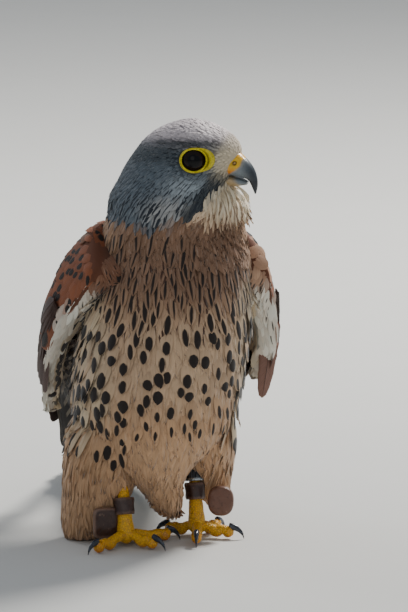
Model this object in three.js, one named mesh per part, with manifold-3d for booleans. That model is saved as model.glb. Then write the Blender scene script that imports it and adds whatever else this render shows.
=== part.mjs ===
// Common kestrel, adult male, life size, standing with its head turned to its left.
// Millimetres, +Z up, floor at z = 0. The breast faces -Y and the bird's left side is +X.
// One closed solid for each named part. Touching parts keep a gap of GAP.

import * as THREE from "three";
import { mergeVertices } from "three/addons/utils/BufferGeometryUtils.js";
import Module from "manifold-3d";

const wasm = await Module();
wasm.setup();

// Driving dimensions
const GAP = 0.3;
const VANE_THICK = 0.55;
const BODY_SIDES = 26;
const BODY_RINGS = 30;
const EYE_LEVEL = 173.4;
const HEAD_X = 16.4;
const HEAD_Y = -12;
const HEAD_YAW = 60;
const HEAD_TOP_CUT = 147;
const NECK_CUT = 128;
const EYE_RADIUS = 6.6;
const EYE_FORWARD = -1.6;
const EYE_SIDE = 10;
const EYE_TURN = 20;
const LID_RADIUS = 5.35;
const LID_THICK = 0.7;
const NOSTRIL_RADIUS = 1.15;
const TARSUS_RADIUS = 2.35;
const FOOT_BALL = 4.3;
const TOE_RADIUS = 2.45;
const CLAW_LENGTH = 9.5;
const CLAW_TIP = 0.35;
const RING_RADIUS = 4.3;
const BAND_RADIUS = 4.5;
const LEATHER_THICK = 1.2;
const PRIMARIES = 6;
const SECONDARIES = 6;
const RECTRICES = 12;
const LAYER = 0.85;
const TILE_TILT = 0.24;
const HAND_STEP = 0.8;
const HAND_TILT = 0.3;

const BLUE_GREY = 0x7f8894;
const CHESTNUT = 0x9a5b3c;
const BUFF = 0xb98f6a;
const DARK_QUILL = 0x2e2724;
const YELLOW = 0xf0b51c;
const HORN = 0x39434f;
const DARK_EYE = 0x0c0908;
const LEATHER = 0x4a2a20;
const METAL = 0x555b60;

const vec = (x, y, z) => new THREE.Vector3(x, y, z);
const lerp = (a, b, t) => a + (b - a) * t;
const clamp = (x, lo, hi) => Math.min(hi, Math.max(lo, x));

// Value of a list of numbers at a fractional place along it, smooth through every entry.
function along(list, place) {
  const last = list.length - 1;
  const at = clamp(place, 0, last);
  const i = Math.min(Math.floor(at), last - 1);
  const t = at - i;
  const p0 = list[Math.max(i - 1, 0)];
  const p1 = list[i];
  const p2 = list[i + 1];
  const p3 = list[Math.min(i + 2, last)];
  const a = 2 * p1 + (p2 - p0) * t;
  const b = (2 * p0 - 5 * p1 + 4 * p2 - p3) * t * t;
  const c = (3 * p1 - p0 - 3 * p2 + p3) * t * t * t;
  return 0.5 * (a + b + c);
}

// A list of [x, y, z] triples read as a smooth curve, at t from 0 to 1.
function curvePoint(points, t) {
  const place = t * (points.length - 1);
  const axis = (k) => along(points.map((p) => p[k]), place);
  return vec(axis(0), axis(1), axis(2));
}

// Solid of a triangle list, turned so that its faces point out.
function solidOf(vertices, triangles) {
  let volume = 0;
  for (const [a, b, c] of triangles) {
    volume += vertices[a].dot(vertices[b].clone().cross(vertices[c]));
  }
  const geometry = new THREE.BufferGeometry();
  const positions = vertices.flatMap((p) => [p.x, p.y, p.z]);
  geometry.setAttribute("position", new THREE.Float32BufferAttribute(positions, 3));
  geometry.setIndex(volume < 0 ? triangles.flatMap(([a, b, c]) => [a, c, b]) : triangles.flat());
  return fromGeometry(geometry);
}

function fromGeometry(source, matrix) {
  let geometry = source.clone();
  geometry.deleteAttribute("normal");
  geometry.deleteAttribute("uv");
  if (matrix) {
    geometry.applyMatrix4(matrix);
  }
  geometry = mergeVertices(geometry, 1e-4);
  const mesh = new wasm.Mesh({
    numProp: 3,
    vertProperties: new Float32Array(geometry.attributes.position.array),
    triVerts: new Uint32Array(geometry.index.array),
  });
  return new wasm.Manifold(mesh);
}

// Closed skin over rings of equally many points; each end closes on its middle.
// Strips named in crossed are split along the other diagonal.
function loft(rings, crossed = []) {
  const sides = rings[0].length;
  const vertices = rings.flat();
  const triangles = [];
  for (let i = 0; i + 1 < rings.length; i += 1) {
    for (let k = 0; k < sides; k += 1) {
      const a = i * sides + k;
      const b = i * sides + ((k + 1) % sides);
      if (crossed.includes(k)) {
        triangles.push([a, b, a + sides], [b, b + sides, a + sides]);
      } else {
        triangles.push([a, b, b + sides], [a, b + sides, a + sides]);
      }
    }
  }
  for (const end of [0, rings.length - 1]) {
    const middle = vec(0, 0, 0);
    rings[end].forEach((p) => middle.addScaledVector(p, 1 / sides));
    vertices.push(middle);
    for (let k = 0; k < sides; k += 1) {
      const a = end * sides + k;
      const b = end * sides + ((k + 1) % sides);
      triangles.push(end === 0 ? [b, a, vertices.length - 1] : [a, b, vertices.length - 1]);
    }
  }
  return solidOf(vertices, triangles);
}

// Ring of the body at one height: a squashed circle with its own front, back and facing angle.
function bodyRing(row, sides, grow) {
  const [z, cx, cy, half, front, back, yaw] = row;
  const turn = (yaw * Math.PI) / 180;
  const ring = [];
  for (let k = 0; k < sides; k += 1) {
    const phi = (2 * Math.PI * k) / sides - turn;
    const reach = (Math.cos(phi) > 0 ? front : back) + grow;
    const ahead = reach * Math.cos(phi);
    const left = (half + grow) * Math.sin(phi);
    const x = cx + ahead * Math.sin(turn) + left * Math.cos(turn);
    const y = cy - ahead * Math.cos(turn) + left * Math.sin(turn);
    ring.push(vec(x, y, z));
  }
  return ring;
}

// Smooth stack of rings from a few rows; rows bunch toward the ends.
function stack(rows, count, sides, grow = 0) {
  const rings = [];
  for (let i = 0; i < count; i += 1) {
    const place = (i / (count - 1)) * (rows.length - 1);
    const row = rows[0].map((_, column) => along(rows.map((r) => r[column]), place));
    if (i === 0) {
      row[0] -= grow;
    }
    if (i === count - 1) {
      row[0] += grow;
    }
    rings.push(bodyRing(row, sides, grow));
  }
  return loft(rings);
}

// Head row: height over eye level, reach ahead of and behind the eyes, and half-width.
function headRow(up, ahead, behind, half) {
  return [EYE_LEVEL + up, HEAD_X, HEAD_Y, half, ahead, behind, HEAD_YAW];
}

// Shift a head row so that its widest place lies between its front and its back.
function centred(row) {
  const [z, cx, cy, half, front, back, yaw] = row;
  const turn = (yaw * Math.PI) / 180;
  const shift = (front - back) / 2;
  const reach = (front + back) / 2;
  return [z, cx + shift * Math.sin(turn), cy - shift * Math.cos(turn), half, reach, reach, yaw];
}

// Height, middle x and y, half-width, reach to the front and back, facing angle
const BODY_ROWS = [
  [13, 3, 0, 2.5, 7, 3, 0],
  [18, 1, 0, 7, 14, 10, 0],
  [27, -3, 0, 13, 21, 24, 0],
  [38, -6, 0, 24, 29, 36, 0],
  [51, -4, 0, 34, 34.5, 46, 0],
  [66, -3.5, 0, 38, 38.5, 50, 0],
  [83, -1, 0, 38.5, 41, 50, 0],
  [100, 2, 0, 38, 40.5, 46, 0],
  [115, 3.5, 0, 37.5, 37.5, 40, 0],
  [128, 4, 0, 36.5, 33.5, 35, 0],
  [138, 4, 0, 34.3, 30.5, 31, 12],
  [146, 4.6, -0.5, 31.8, 29.5, 30, 36],
  centred(headRow(-19.4, 15.2, 44.5, 25.5)),
  centred(headRow(-12.4, 13, 41, 22)),
  centred(headRow(-5.4, 15, 37.5, 19.5)),
  centred(headRow(0.6, 17.6, 33.5, 18.3)),
  centred(headRow(6, 16.8, 29.3, 16.8)),
  centred(headRow(10.5, 12.6, 24, 14)),
  centred(headRow(14, 5.4, 17, 9.3)),
  centred(headRow(16, -3, 9.5, 3.2)),
];

const THIGH_RIGHT_ROWS = [
  [0.6, -35.5, 9, 5, 5, 7, 0],
  [4, -35, 8, 9, 8, 11, 0],
  [12, -33, 7, 12.5, 12, 15, 0],
  [22, -29.5, 5, 16, 15.5, 20, 0],
  [33, -26.5, 3, 19, 19.5, 24, 0],
  [45, -23.5, 2, 21, 24, 26, 0],
  [60, -20, 3, 19, 24, 24, 0],
];

const THIGH_LEFT_ROWS = [
  [13, 27, 13, 2.5, 3, 4, 0],
  [17, 26, 13, 6, 6, 8, 0],
  [25, 23.5, 13, 9.5, 10, 14, 0],
  [34, 20.5, 11, 14, 13, 18, 0],
  [45, 18.5, 8, 16.5, 21, 22, 0],
  [60, 17, 5, 17, 23, 22, 0],
];

// Tube of round or flattened rings along a list of places {at, wide, high}.
function tube(stations, sides, grow = 0) {
  const rings = [];
  stations.forEach((station, i) => {
    const before = stations[Math.max(i - 1, 0)].at;
    const after = stations[Math.min(i + 1, stations.length - 1)].at;
    const ahead = after.clone().sub(before).normalize();
    const helper = Math.abs(ahead.z) > 0.9 ? vec(0, 1, 0) : vec(0, 0, 1);
    const side = ahead.clone().cross(helper).normalize();
    const up = side.clone().cross(ahead).normalize();
    const ends = (i === 0 ? -grow : 0) + (i === stations.length - 1 ? grow : 0);
    const ring = [];
    for (let k = 0; k < sides; k += 1) {
      const phi = (2 * Math.PI * (k + 0.5)) / sides;
      const point = station.at.clone().addScaledVector(ahead, ends);
      point.addScaledVector(side, (station.wide + grow) * Math.cos(phi));
      point.addScaledVector(up, (station.high + grow) * Math.sin(phi));
      ring.push(point);
    }
    rings.push(ring);
  });
  return loft(rings);
}

// Upright round piece from a profile of [radius, height] pairs that starts and ends on the axis.
function turned(profile, sides, matrix) {
  const points = profile.map(([r, z]) => new THREE.Vector2(r, z));
  const upright = new THREE.Matrix4().makeRotationX(Math.PI / 2);
  const place = (matrix ?? new THREE.Matrix4()).clone().multiply(upright);
  return fromGeometry(new THREE.LatheGeometry(points, sides), place);
}

function ball(centre, radius, wide = 14, high = 10) {
  const place = new THREE.Matrix4().makeTranslation(centre.x, centre.y, centre.z);
  return fromGeometry(new THREE.SphereGeometry(radius, wide, high), place);
}

// Largest closed surface of a solid; loose scraps and sealed hollows fall away.
function largest(solid) {
  const pieces = solid.decompose();
  return pieces.reduce((best, piece) => (piece.volume() > best.volume() ? piece : best));
}

const aboveFloor = (solid) => solid.trimByPlane([0, 0, 1], 0);

// Head frame: x ahead, y to the bird's left, z up, from the point between the eyes.
const HEAD_FRAME = new THREE.Matrix4()
  .makeTranslation(HEAD_X, HEAD_Y, EYE_LEVEL)
  .multiply(new THREE.Matrix4().makeRotationZ(((HEAD_YAW - 90) * Math.PI) / 180));
const inHead = (ahead, left, up) => vec(ahead, left, up).applyMatrix4(HEAD_FRAME);

// Bill pieces: rows of the top edge, the bottom edge and the half-width, in the head frame.
const UPPER_BILL = [
  [10.5, 4.2, 8.5, -7.0, 7.0],
  [15.5, 2.8, 11.8, -7.6, 6.1],
  [18.6, 0.5, 15.3, -8.0, 5.1],
  [21.2, -2.1, 18.2, -8.6, 4.1],
  [23.2, -5.1, 20.1, -9.2, 3.1],
  [24.3, -8.4, 21.1, -10.3, 2.3],
  [24.6, -11.7, 22.1, -12.4, 1.5],
  [23.9, -15.4, 23.3, -15.5, 0.35],
];
const LOWER_BILL = [
  [8.0, -7.9, 7.0, -12.2, 5.4],
  [12.5, -8.1, 12.0, -12.6, 4.6],
  [16.5, -8.7, 16.2, -12.2, 3.6],
  [19.9, -9.9, 19.5, -11.7, 1.9],
];

// Sections are round on one edge and flat on the mouth's side, so that the two halves close.
function billSolid(rows, sides, mouth, grow = 0) {
  const rings = rows.map(([topAhead, topUp, lowAhead, lowUp, half], i) => {
    const top = vec(topAhead, 0, topUp);
    const low = vec(lowAhead, 0, lowUp);
    const middle = top.clone().add(low).multiplyScalar(0.5);
    const reach = top.clone().sub(middle);
    reach.setLength(reach.length() + grow);
    const last = i === rows.length - 1;
    const ring = [];
    for (let k = 0; k < sides; k += 1) {
      const phi = (2 * Math.PI * k) / sides;
      const rise = Math.cos(phi);
      const flat = rise * mouth > 0 ? 0.45 : 1;
      const point = middle.clone().addScaledVector(reach, Math.sign(rise) * Math.abs(rise) ** flat);
      point.y += (half + grow) * Math.sin(phi);
      if (last) {
        point.z -= grow;
      }
      ring.push(inHead(point.x, point.y, point.z));
    }
    return ring;
  });
  return loft(rings);
}

// Eye axis turned a little ahead of straight sideways.
function eyeAxis(side) {
  const turn = (EYE_TURN * Math.PI) / 180;
  return vec(Math.sin(turn), side * Math.cos(turn), 0).transformDirection(HEAD_FRAME);
}

const eyeCentre = (side) => inHead(EYE_FORWARD, side * EYE_SIDE, 0);

function lidSolid(side, grow = 0) {
  const axis = eyeAxis(side);
  const centre = eyeCentre(side).addScaledVector(axis, 4.75);
  const turn = new THREE.Quaternion().setFromUnitVectors(vec(0, 0, 1), axis);
  const place = new THREE.Matrix4().compose(centre, turn, vec(1, 1, 1));
  const ring = new THREE.TorusGeometry(LID_RADIUS, LID_THICK + grow, 5, 14);
  return fromGeometry(ring, place);
}

// Wing sheets from wrist to tip: the lower leading edge, the widest line and the upper edge.
// The bird holds its left wing a little further out than its right one.
const SPINE_EDGE = [
  [24, 20, 142], [14, 38, 122], [8, 48, 101], [5, 60, 79], [4.5, 84, 60],
  [5, 114, 43], [6.5, 143, 31], [9, 166, 22],
];
const WINGS = {
  right: {
    leading: [
      [-36, -25, 123], [-45, 0, 100], [-49, 20, 80], [-47, 43, 59], [-44, 71, 38],
      [-39, 104, 22], [-29, 139, 15], [-13, 168, 14.5],
    ],
    middle: [
      [-34.5, -1, 138.5], [-42, 18, 125], [-43.5, 31, 106], [-41.5, 48, 83], [-32, 80, 58],
      [-24, 111, 40], [-17.5, 143, 29], [-11, 167, 20],
    ],
  },
  left: {
    leading: [
      [46, -12, 121], [50, 2, 103], [53, 14, 83], [50, 36, 62], [44, 71, 39],
      [39, 104, 22], [29, 139, 15], [13, 168, 14.5],
    ],
    middle: [
      [38.5, 4, 137.5], [44.5, 20, 123], [45.5, 33, 104], [42.5, 49, 82], [32, 80, 58],
      [24, 111, 40], [17.5, 143, 29], [11, 167, 20],
    ],
  },
};

// Point on the wing sheet: s runs from wrist to tip, t from the leading to the upper edge.
function sheetPoint(side, s, t) {
  const wing = side > 0 ? WINGS.left : WINGS.right;
  const upper = curvePoint(SPINE_EDGE, s);
  upper.x *= side;
  return curvePoint(wing.leading, s).multiplyScalar((1 - t) * (1 - 2 * t))
    .addScaledVector(curvePoint(wing.middle, s), 4 * t * (1 - t))
    .addScaledVector(upper, t * (2 * t - 1));
}

// Outward normal and the directions along and across the sheet.
function sheetFrame(side, s, t) {
  const step = 0.01;
  const at = sheetPoint(side, s, t);
  const down = sheetPoint(side, s + step, t).sub(sheetPoint(side, s - step, t)).normalize();
  const across = sheetPoint(side, s, t + step).sub(sheetPoint(side, s, t - step)).normalize();
  const normal = down.clone().cross(across).normalize();
  if (normal.x * side < 0) {
    normal.negate();
  }
  return { at, down, across, normal };
}

// Closed block under the sheet between two stretches of s and t.
function sheetBlock(side, range, steps, depth, top = 0) {
  const [s0, s1, t0, t1] = range;
  const [sSteps, tSteps] = steps;
  const rings = [];
  for (let i = 0; i <= sSteps; i += 1) {
    const s = lerp(s0, s1, i / sSteps);
    const outer = [];
    const inner = [];
    for (let j = 0; j <= tSteps; j += 1) {
      const t = lerp(t0, t1, j / tSteps);
      const { at, normal } = sheetFrame(side, s, t);
      outer.push(at.clone().addScaledVector(normal, top));
      inner.unshift(at.clone().addScaledVector(normal, top - depth(s, t)));
    }
    rings.push([...outer, ...inner]);
  }
  return loft(rings);
}

// Feather vane on the sheet: a thin blade, both faces split alike.
function vaneSolid(stations, grow = 0) {
  const rings = stations.map(({ at, across, normal, low, high, tilt }, i) => {
    const half = VANE_THICK / 2 + grow;
    const ends = i === 0 ? -grow : 0;
    const tip = i === stations.length - 1 ? grow : 0;
    const next = stations[Math.min(i + 1, stations.length - 1)].at;
    const before = stations[Math.max(i - 1, 0)].at;
    const ahead = next.clone().sub(before).normalize();
    const middle = at.clone().addScaledVector(ahead, ends + tip);
    const left = middle.clone().addScaledVector(across, -low - grow);
    left.addScaledVector(normal, tilt * low);
    const right = middle.clone().addScaledVector(across, high + grow);
    right.addScaledVector(normal, -tilt * high);
    const up = (p) => p.clone().addScaledVector(normal, half);
    const down = (p) => p.clone().addScaledVector(normal, -half);
    return [up(left), up(right), down(right), down(left)];
  });
  return loft(rings, [2]);
}

const VANE_SHAPE = [[0, 0.7], [0.3, 0.95], [0.65, 1], [0.92, 0.62], [1, 0.14]];
const WING_BENDS = [0.29, 0.5, 0.58, 0.65, 0.72, 0.79, 0.86, 0.93];

// Share of its full width that a vane has at a place along it
function vaneWidth(run) {
  const next = VANE_SHAPE.findIndex(([place]) => place >= run);
  const [place1, width1] = VANE_SHAPE[Math.max(next, 1)];
  const [place0, width0] = VANE_SHAPE[Math.max(next, 1) - 1];
  return lerp(width0, width1, (run - place0) / (place1 - place0));
}

// Wing vane from its root to its tip; layer tells how far off the sheet it lies at s.
// All vanes bend at the same places, so that they lie on one another without crossing.
function wingVane(side, from, to, layer, wide, tilt, grow = 0) {
  const between = WING_BENDS.filter((s) => s > from.s + 0.02 && s < to.s - 0.025);
  const stations = [from.s, ...between, to.s - 0.014, to.s].map((s) => {
    const run = (s - from.s) / (to.s - from.s);
    const t = lerp(from.t, to.t, run ** 1.3);
    const { at, across, normal } = sheetFrame(side, s, t);
    const low = wide * vaneWidth(run) * 0.42;
    const high = wide * vaneWidth(run) * 0.58;
    return { at: at.addScaledVector(normal, layer(s)), across, normal, low, high, tilt };
  });
  return vaneSolid(stations, grow);
}

const ARM_END = 0.4;
const HAND_START = ARM_END + 0.004;

// The outermost primary lies deepest; each inner one lies a little further out and ends sooner.
// Toward the tips the whole pack comes up to the sheet.
function primaryVanes(side) {
  const vanes = [];
  for (let i = 0; i < PRIMARIES; i += 1) {
    const inner = i / (PRIMARIES - 1);
    const layer = (s) => -4.1 + 3.4 * clamp((s - 0.6) / 0.3, 0, 1) - HAND_STEP * (PRIMARIES - 1 - i);
    const from = { s: 0.434, t: lerp(0.045, 0.25, inner) };
    const to = { s: i === 0 ? 0.965 : 1 - 0.085 * (i - 1), t: lerp(0.28, 0.5, inner ** 0.7) };
    vanes.push(wingVane(side, from, to, layer, lerp(11, 15, inner), HAND_TILT));
  }
  return vanes;
}

// Secondaries overlap like roof tiles, the inner ones on top.
function secondaryVanes(side) {
  const vanes = [];
  for (let i = 0; i < SECONDARIES; i += 1) {
    const inner = i / (SECONDARIES - 1);
    const from = { s: 0.42, t: lerp(0.4, 0.93, inner) };
    const to = { s: lerp(0.64, 0.56, inner), t: lerp(0.34, 0.86, inner) };
    vanes.push(wingVane(side, from, to, () => -0.4, 15, TILE_TILT));
  }
  return vanes;
}

const join = (solids) => solids.reduce((all, solid) => all.add(solid));

function armSolid(side, grow = 0) {
  const depth = (s, t) => lerp(12, 4.5, s / ARM_END) * (1 - t) ** 0.5 + 2.4;
  const rings = [];
  const steps = 9;
  for (let i = 0; i <= steps; i += 1) {
    const s = lerp(0, ARM_END + grow * 0.0045, i / steps);
    const outer = [];
    const inner = [];
    for (let j = 0; j <= 7; j += 1) {
      const { at, normal } = sheetFrame(side, Math.max(s, 0.012), j / 7);
      outer.push(at.clone().addScaledVector(normal, grow));
      inner.unshift(at.clone().addScaledVector(normal, -depth(s, j / 7) - grow));
    }
    rings.push([...outer, ...inner]);
  }
  // The wrist end closes in a rounded nose ahead of the first ring.
  const nose = (share, ahead) => {
    const first = rings[0];
    const middle = vec(0, 0, 0);
    first.forEach((p) => middle.addScaledVector(p, 1 / first.length));
    const forward = vec(-0.25 * side, -0.8, 0.55).normalize();
    return first.map((p) => middle.clone().lerp(p, share).addScaledVector(forward, ahead));
  };
  return loft([nose(0.45, 6.5), nose(0.82, 4), ...rings]);
}

function alulaVanes(side, grow = 0) {
  const vanes = [];
  for (let i = 0; i < 3; i += 1) {
    const from = { s: 0.2, t: 0.1 + 0.05 * i };
    const to = { s: 0.36 - 0.035 * i, t: 0.06 + 0.06 * i };
    vanes.push(wingVane(side, from, to, () => 0.3 + 0.4 * i, 8 - i, 0, grow));
  }
  return vanes;
}

// Tail: the middle pair lies on top and each outer feather under its inner neighbour.
const TAIL_ROOT = vec(0, 44, 46);
const TAIL_TIP = vec(0, 187, 3.2);

function tailVanes(grow = 0) {
  const ahead = TAIL_TIP.clone().sub(TAIL_ROOT).normalize();
  const normal = vec(1, 0, 0).cross(ahead).normalize();
  const length = TAIL_TIP.distanceTo(TAIL_ROOT);
  const vanes = [];
  for (let i = 0; i < RECTRICES; i += 1) {
    const side = i % 2 === 0 ? 1 : -1;
    const rank = Math.floor(i / 2);
    const spread = side * (rank + 0.35);
    const layer = 2.6 - LAYER * (rank === 0 ? i : rank + 1);
    const stations = VANE_SHAPE.map(([run, width]) => {
      const reach = (1 - 0.011 * rank * rank * 0.6) * length * run;
      const at = TAIL_ROOT.clone().addScaledVector(ahead, reach);
      at.x += spread * lerp(0.7, 3.1, run);
      at.addScaledVector(normal, layer);
      const high = 7.8 * width;
      const low = rank === 0 ? high : Math.min(high, Math.abs(at.x) - 0.4);
      return { at, across: vec(side, 0, 0), normal, low, high, tilt: 0 };
    });
    vanes.push(vaneSolid(stations, grow));
  }
  return vanes;
}

function tailRoot(grow = 0) {
  const stations = [
    { at: vec(0, 36, 48.5), wide: 8, high: 4 },
    { at: vec(0, 52, 44), wide: 10, high: 3.6 },
    { at: vec(0, 74, 37.3), wide: 12.5, high: 1.6 },
  ];
  return tube(stations, 12, grow);
}

// Room left for the feather roots between the upper and the lower tail coverts.
function tailSlot() {
  const stations = [
    { at: vec(0, 35, 49.5), wide: 10.6, high: 7.4 },
    { at: vec(0, 60, 41.6), wide: 15.5, high: 6.6 },
    { at: vec(0, 96, 30), wide: 23, high: 6 },
  ];
  return tube(stations, 8);
}

function tailCoverts(grow = 0) {
  const stations = [
    { at: vec(0, 22, 50), wide: 21, high: 15 },
    { at: vec(0, 40, 47), wide: 20, high: 13.5 },
    { at: vec(0, 60, 41.5), wide: 17, high: 9 },
    { at: vec(0, 78, 36), wide: 14.5, high: 7 },
    { at: vec(0, 92, 32), wide: 11, high: 5.6 },
  ];
  return tube(stations, 14, grow);
}

// Feet: the tarsus line and where each toe ends. The hallux points back.
const LEGS = {
  right: {
    foot: vec(-19, -12, 4.6),
    top: vec(-20, -5, 38),
    toes: [vec(-15, 3.5, 4.4), vec(1.5, -4.5, 5.2), vec(-8, -23.5, 5), vec(-35, -27, 4.6)],
  },
  left: {
    foot: vec(15.5, 3, 4.6),
    top: vec(14.5, 9, 40),
    toes: [vec(27.5, 17, 4.4), vec(3.5, 11.5, 5), vec(11.5, -18, 5.4), vec(30, -3, 5)],
  },
};

function tarsusSolid(leg, grow = 0) {
  const stations = [0, 0.1, 0.22, 0.5, 0.8, 1].map((t) => ({
    at: leg.foot.clone().lerp(leg.top, t),
    wide: TARSUS_RADIUS + along([1.9, 1.2, 0.4, 0, 0.1, 0.5], t * 5),
    high: TARSUS_RADIUS + along([1.7, 1.1, 0.5, 0.2, 0.2, 0.5], t * 5),
  }));
  return tube(stations, 9, grow);
}

const footBall = (leg, grow = 0) => ball(leg.foot, FOOT_BALL + grow, 10, 6);

// Toe: raised at its middle joint, with a pad under its end and another half way.
function toeSolid(leg, end, grow = 0) {
  const start = leg.foot;
  const heights = [0, 0.6, 0, -1.5, -0.5, -1.6, 0];
  const swells = [1.2, 1.05, 0.95, 1.15, 0.9, 1.2, 0.66];
  const stations = [0, 0.18, 0.38, 0.56, 0.74, 0.9, 1].map((t, i) => {
    const at = start.clone().lerp(end, t);
    at.z += heights[i];
    const deep = i === 3 || i === 5 ? 1.35 : 1;
    return { at, wide: TOE_RADIUS * swells[i], high: TOE_RADIUS * swells[i] * deep };
  });
  return tube(stations, 7, grow);
}

// Claw: an arc that leaves the toe level and ends pointing down at the floor.
function clawSolid(leg, end) {
  const ahead = end.clone().sub(leg.foot).setZ(0).normalize();
  const stations = [];
  const bend = 1.45;
  const radius = CLAW_LENGTH / bend;
  const rise = end.z + 0.6;
  for (let i = 0; i <= 5; i += 1) {
    const turn = (bend * i) / 5;
    const at = end.clone().addScaledVector(ahead, radius * Math.sin(turn) + 4 * GAP);
    const fall = (1 - Math.cos(turn)) / (1 - Math.cos(bend));
    at.z = rise - fall * (rise - CLAW_TIP);
    const thick = lerp(1.6, CLAW_TIP, (i / 5) ** 1.1);
    stations.push({ at, wide: thick * 0.82, high: thick });
  }
  return tube(stations, 6);
}

// Upright open band around a tarsus.
function bandSolid(leg, low, high, inner, outer, grow = 0) {
  const share = ((low + high) / 2 - leg.foot.z) / (leg.top.z - leg.foot.z);
  const centre = leg.foot.clone().lerp(leg.top, share);
  const ahead = leg.top.clone().sub(leg.foot).normalize();
  const turn = new THREE.Quaternion().setFromUnitVectors(vec(0, 0, 1), ahead);
  const place = new THREE.Matrix4().compose(centre, turn, vec(1, 1, 1));
  const half = (high - low) / 2 + grow;
  const rim = outer + grow;
  const profile = [
    [inner, -half], [rim - 0.4, -half], [rim, -half + 0.5], [rim, half - 0.5],
    [rim - 0.4, half], [inner, half], [inner, -half],
  ];
  return turned(profile, 14, place);
}

// Leather tab: a rounded plate with soft edges, standing beside the tarsus.
function tabSolid(centre, wide, high, thick, corner, turn) {
  const outline = new THREE.Shape();
  const w = wide / 2 - corner;
  const h = high / 2 - corner;
  outline.absarc(w, h, corner, 0, Math.PI / 2, false);
  outline.absarc(-w, h, corner, Math.PI / 2, Math.PI, false);
  outline.absarc(-w, -h, corner, Math.PI, 1.5 * Math.PI, false);
  outline.absarc(w, -h, corner, 1.5 * Math.PI, 2 * Math.PI, false);
  outline.closePath();
  const plate = new THREE.ExtrudeGeometry(outline, {
    depth: thick - 1.2, bevelThickness: 0.6, bevelSize: 0.6, bevelSegments: 1, curveSegments: 3,
  });
  plate.translate(0, 0, -(thick - 1.2) / 2);
  const place = new THREE.Matrix4().makeTranslation(centre.x, centre.y, centre.z)
    .multiply(new THREE.Matrix4().makeRotationZ(turn))
    .multiply(new THREE.Matrix4().makeRotationX(Math.PI / 2));
  return fromGeometry(plate, place);
}

const object = new THREE.Group();

function addNode(name, solid, color, roughness = 0.8, metalness = 0) {
  const mesh = largest(solid).getMesh();
  const geometry = new THREE.BufferGeometry();
  const positions = new Float32Array(mesh.numVert * 3);
  for (let i = 0; i < mesh.numVert; i += 1) {
    for (let axis = 0; axis < 3; axis += 1) {
      positions[i * 3 + axis] = mesh.vertProperties[i * mesh.numProp + axis];
    }
  }
  geometry.setAttribute("position", new THREE.BufferAttribute(positions, 3));
  geometry.setIndex(new THREE.BufferAttribute(new Uint32Array(mesh.triVerts), 1));
  geometry.computeVertexNormals();
  const material = new THREE.MeshStandardMaterial({ color, roughness, metalness });
  const node = new THREE.Mesh(geometry, material);
  node.name = name;
  object.add(node);
}

// Flesh of the body, from the belly to the crown, whole and then parted
const flesh = stack(BODY_ROWS, BODY_RINGS, BODY_SIDES);
const fleshGrown = stack(BODY_ROWS, BODY_RINGS, BODY_SIDES, GAP);
const legParts = Object.values(LEGS).map((leg) => tube(
  [{ at: vec(leg.foot.x, leg.foot.y, 0), wide: 5.4, high: 5.4 }, { at: leg.top.clone().setZ(43), wide: 5.4, high: 5.4 }],
  12,
));

const torso = flesh.trimByPlane([0, 0, -1], -(NECK_CUT - GAP / 2)).subtract(join(legParts));
addNode("torso", torso, BUFF);
const neck = flesh.trimByPlane([0, 0, 1], NECK_CUT + GAP / 2)
  .trimByPlane([0, 0, -1], -(HEAD_TOP_CUT - GAP / 2));
addNode("neck", neck, BLUE_GREY);

// Head with its eye sockets, orbits and the seat of the bill
let head = flesh.trimByPlane([0, 0, 1], HEAD_TOP_CUT + GAP / 2);
for (const side of [1, -1]) {
  const axis = eyeAxis(side);
  head = head.subtract(ball(eyeCentre(side).addScaledVector(axis, 12.6), 9.4, 14, 7));
}
for (const side of [1, -1]) {
  const brow = [
    { at: inHead(-6, side * 13.2, 7.6), wide: 2.2, high: 1.8 },
    { at: inHead(1, side * 13.6, 7.4), wide: 3.2, high: 2.1 },
    { at: inHead(8.5, side * 10.6, 5.4), wide: 2.2, high: 1.6 },
  ];
  head = head.add(tube(brow, 6));
}
for (const side of [1, -1]) {
  head = head.subtract(lidSolid(side, GAP)).subtract(ball(eyeCentre(side), EYE_RADIUS + GAP));
}
head = head.subtract(billSolid(UPPER_BILL, 14, -1, GAP)).subtract(billSolid(LOWER_BILL, 12, 1, GAP));
addNode("head", head, BLUE_GREY);

for (const [name, side] of [["left", 1], ["right", -1]]) {
  addNode(`eye_${name}`, ball(eyeCentre(side), EYE_RADIUS), DARK_EYE, 0.1);
  const lid = lidSolid(side).subtract(ball(eyeCentre(side), EYE_RADIUS + GAP));
  addNode(`eyelid_${name}`, lid, YELLOW, 0.6);
}

// Bill: the cere carries the nostrils, the horn goes on to the hook
const billWhole = billSolid(UPPER_BILL, 14, -1);
const hornNormal = vec(0.73, 0, -0.68);
const hornPoint = vec(18.9, 0, 0.2);
const hornWorld = hornNormal.clone().transformDirection(HEAD_FRAME);
const hornOffset = hornWorld.dot(inHead(hornPoint.x, 0, hornPoint.z));
const horn = billWhole.trimByPlane(hornWorld.toArray(), hornOffset + GAP / 2);
let cere = billWhole.trimByPlane(hornWorld.clone().negate().toArray(), -(hornOffset - GAP / 2));
for (const side of [1, -1]) {
  const axis = vec(0.45, side, 0.25).normalize().transformDirection(HEAD_FRAME);
  const turn = new THREE.Quaternion().setFromUnitVectors(vec(0, 0, 1), axis);
  const place = new THREE.Matrix4().compose(inHead(15.6, side * 4.9, -1.7), turn, vec(1, 1, 1));
  const well = [
    [0.42, -1.1], [NOSTRIL_RADIUS, -1.1], [NOSTRIL_RADIUS, 2.5], [0.42, 2.5], [0.42, -1.1],
  ];
  cere = cere.subtract(turned(well, 8, place));
}
addNode("upper_bill", horn, HORN, 0.35);
addNode("cere", cere, YELLOW, 0.5);
const lowerBill = billSolid(LOWER_BILL, 12, 1).subtract(billSolid(UPPER_BILL, 14, -1, GAP));
addNode("lower_bill", lowerBill, HORN, 0.4);

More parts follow.
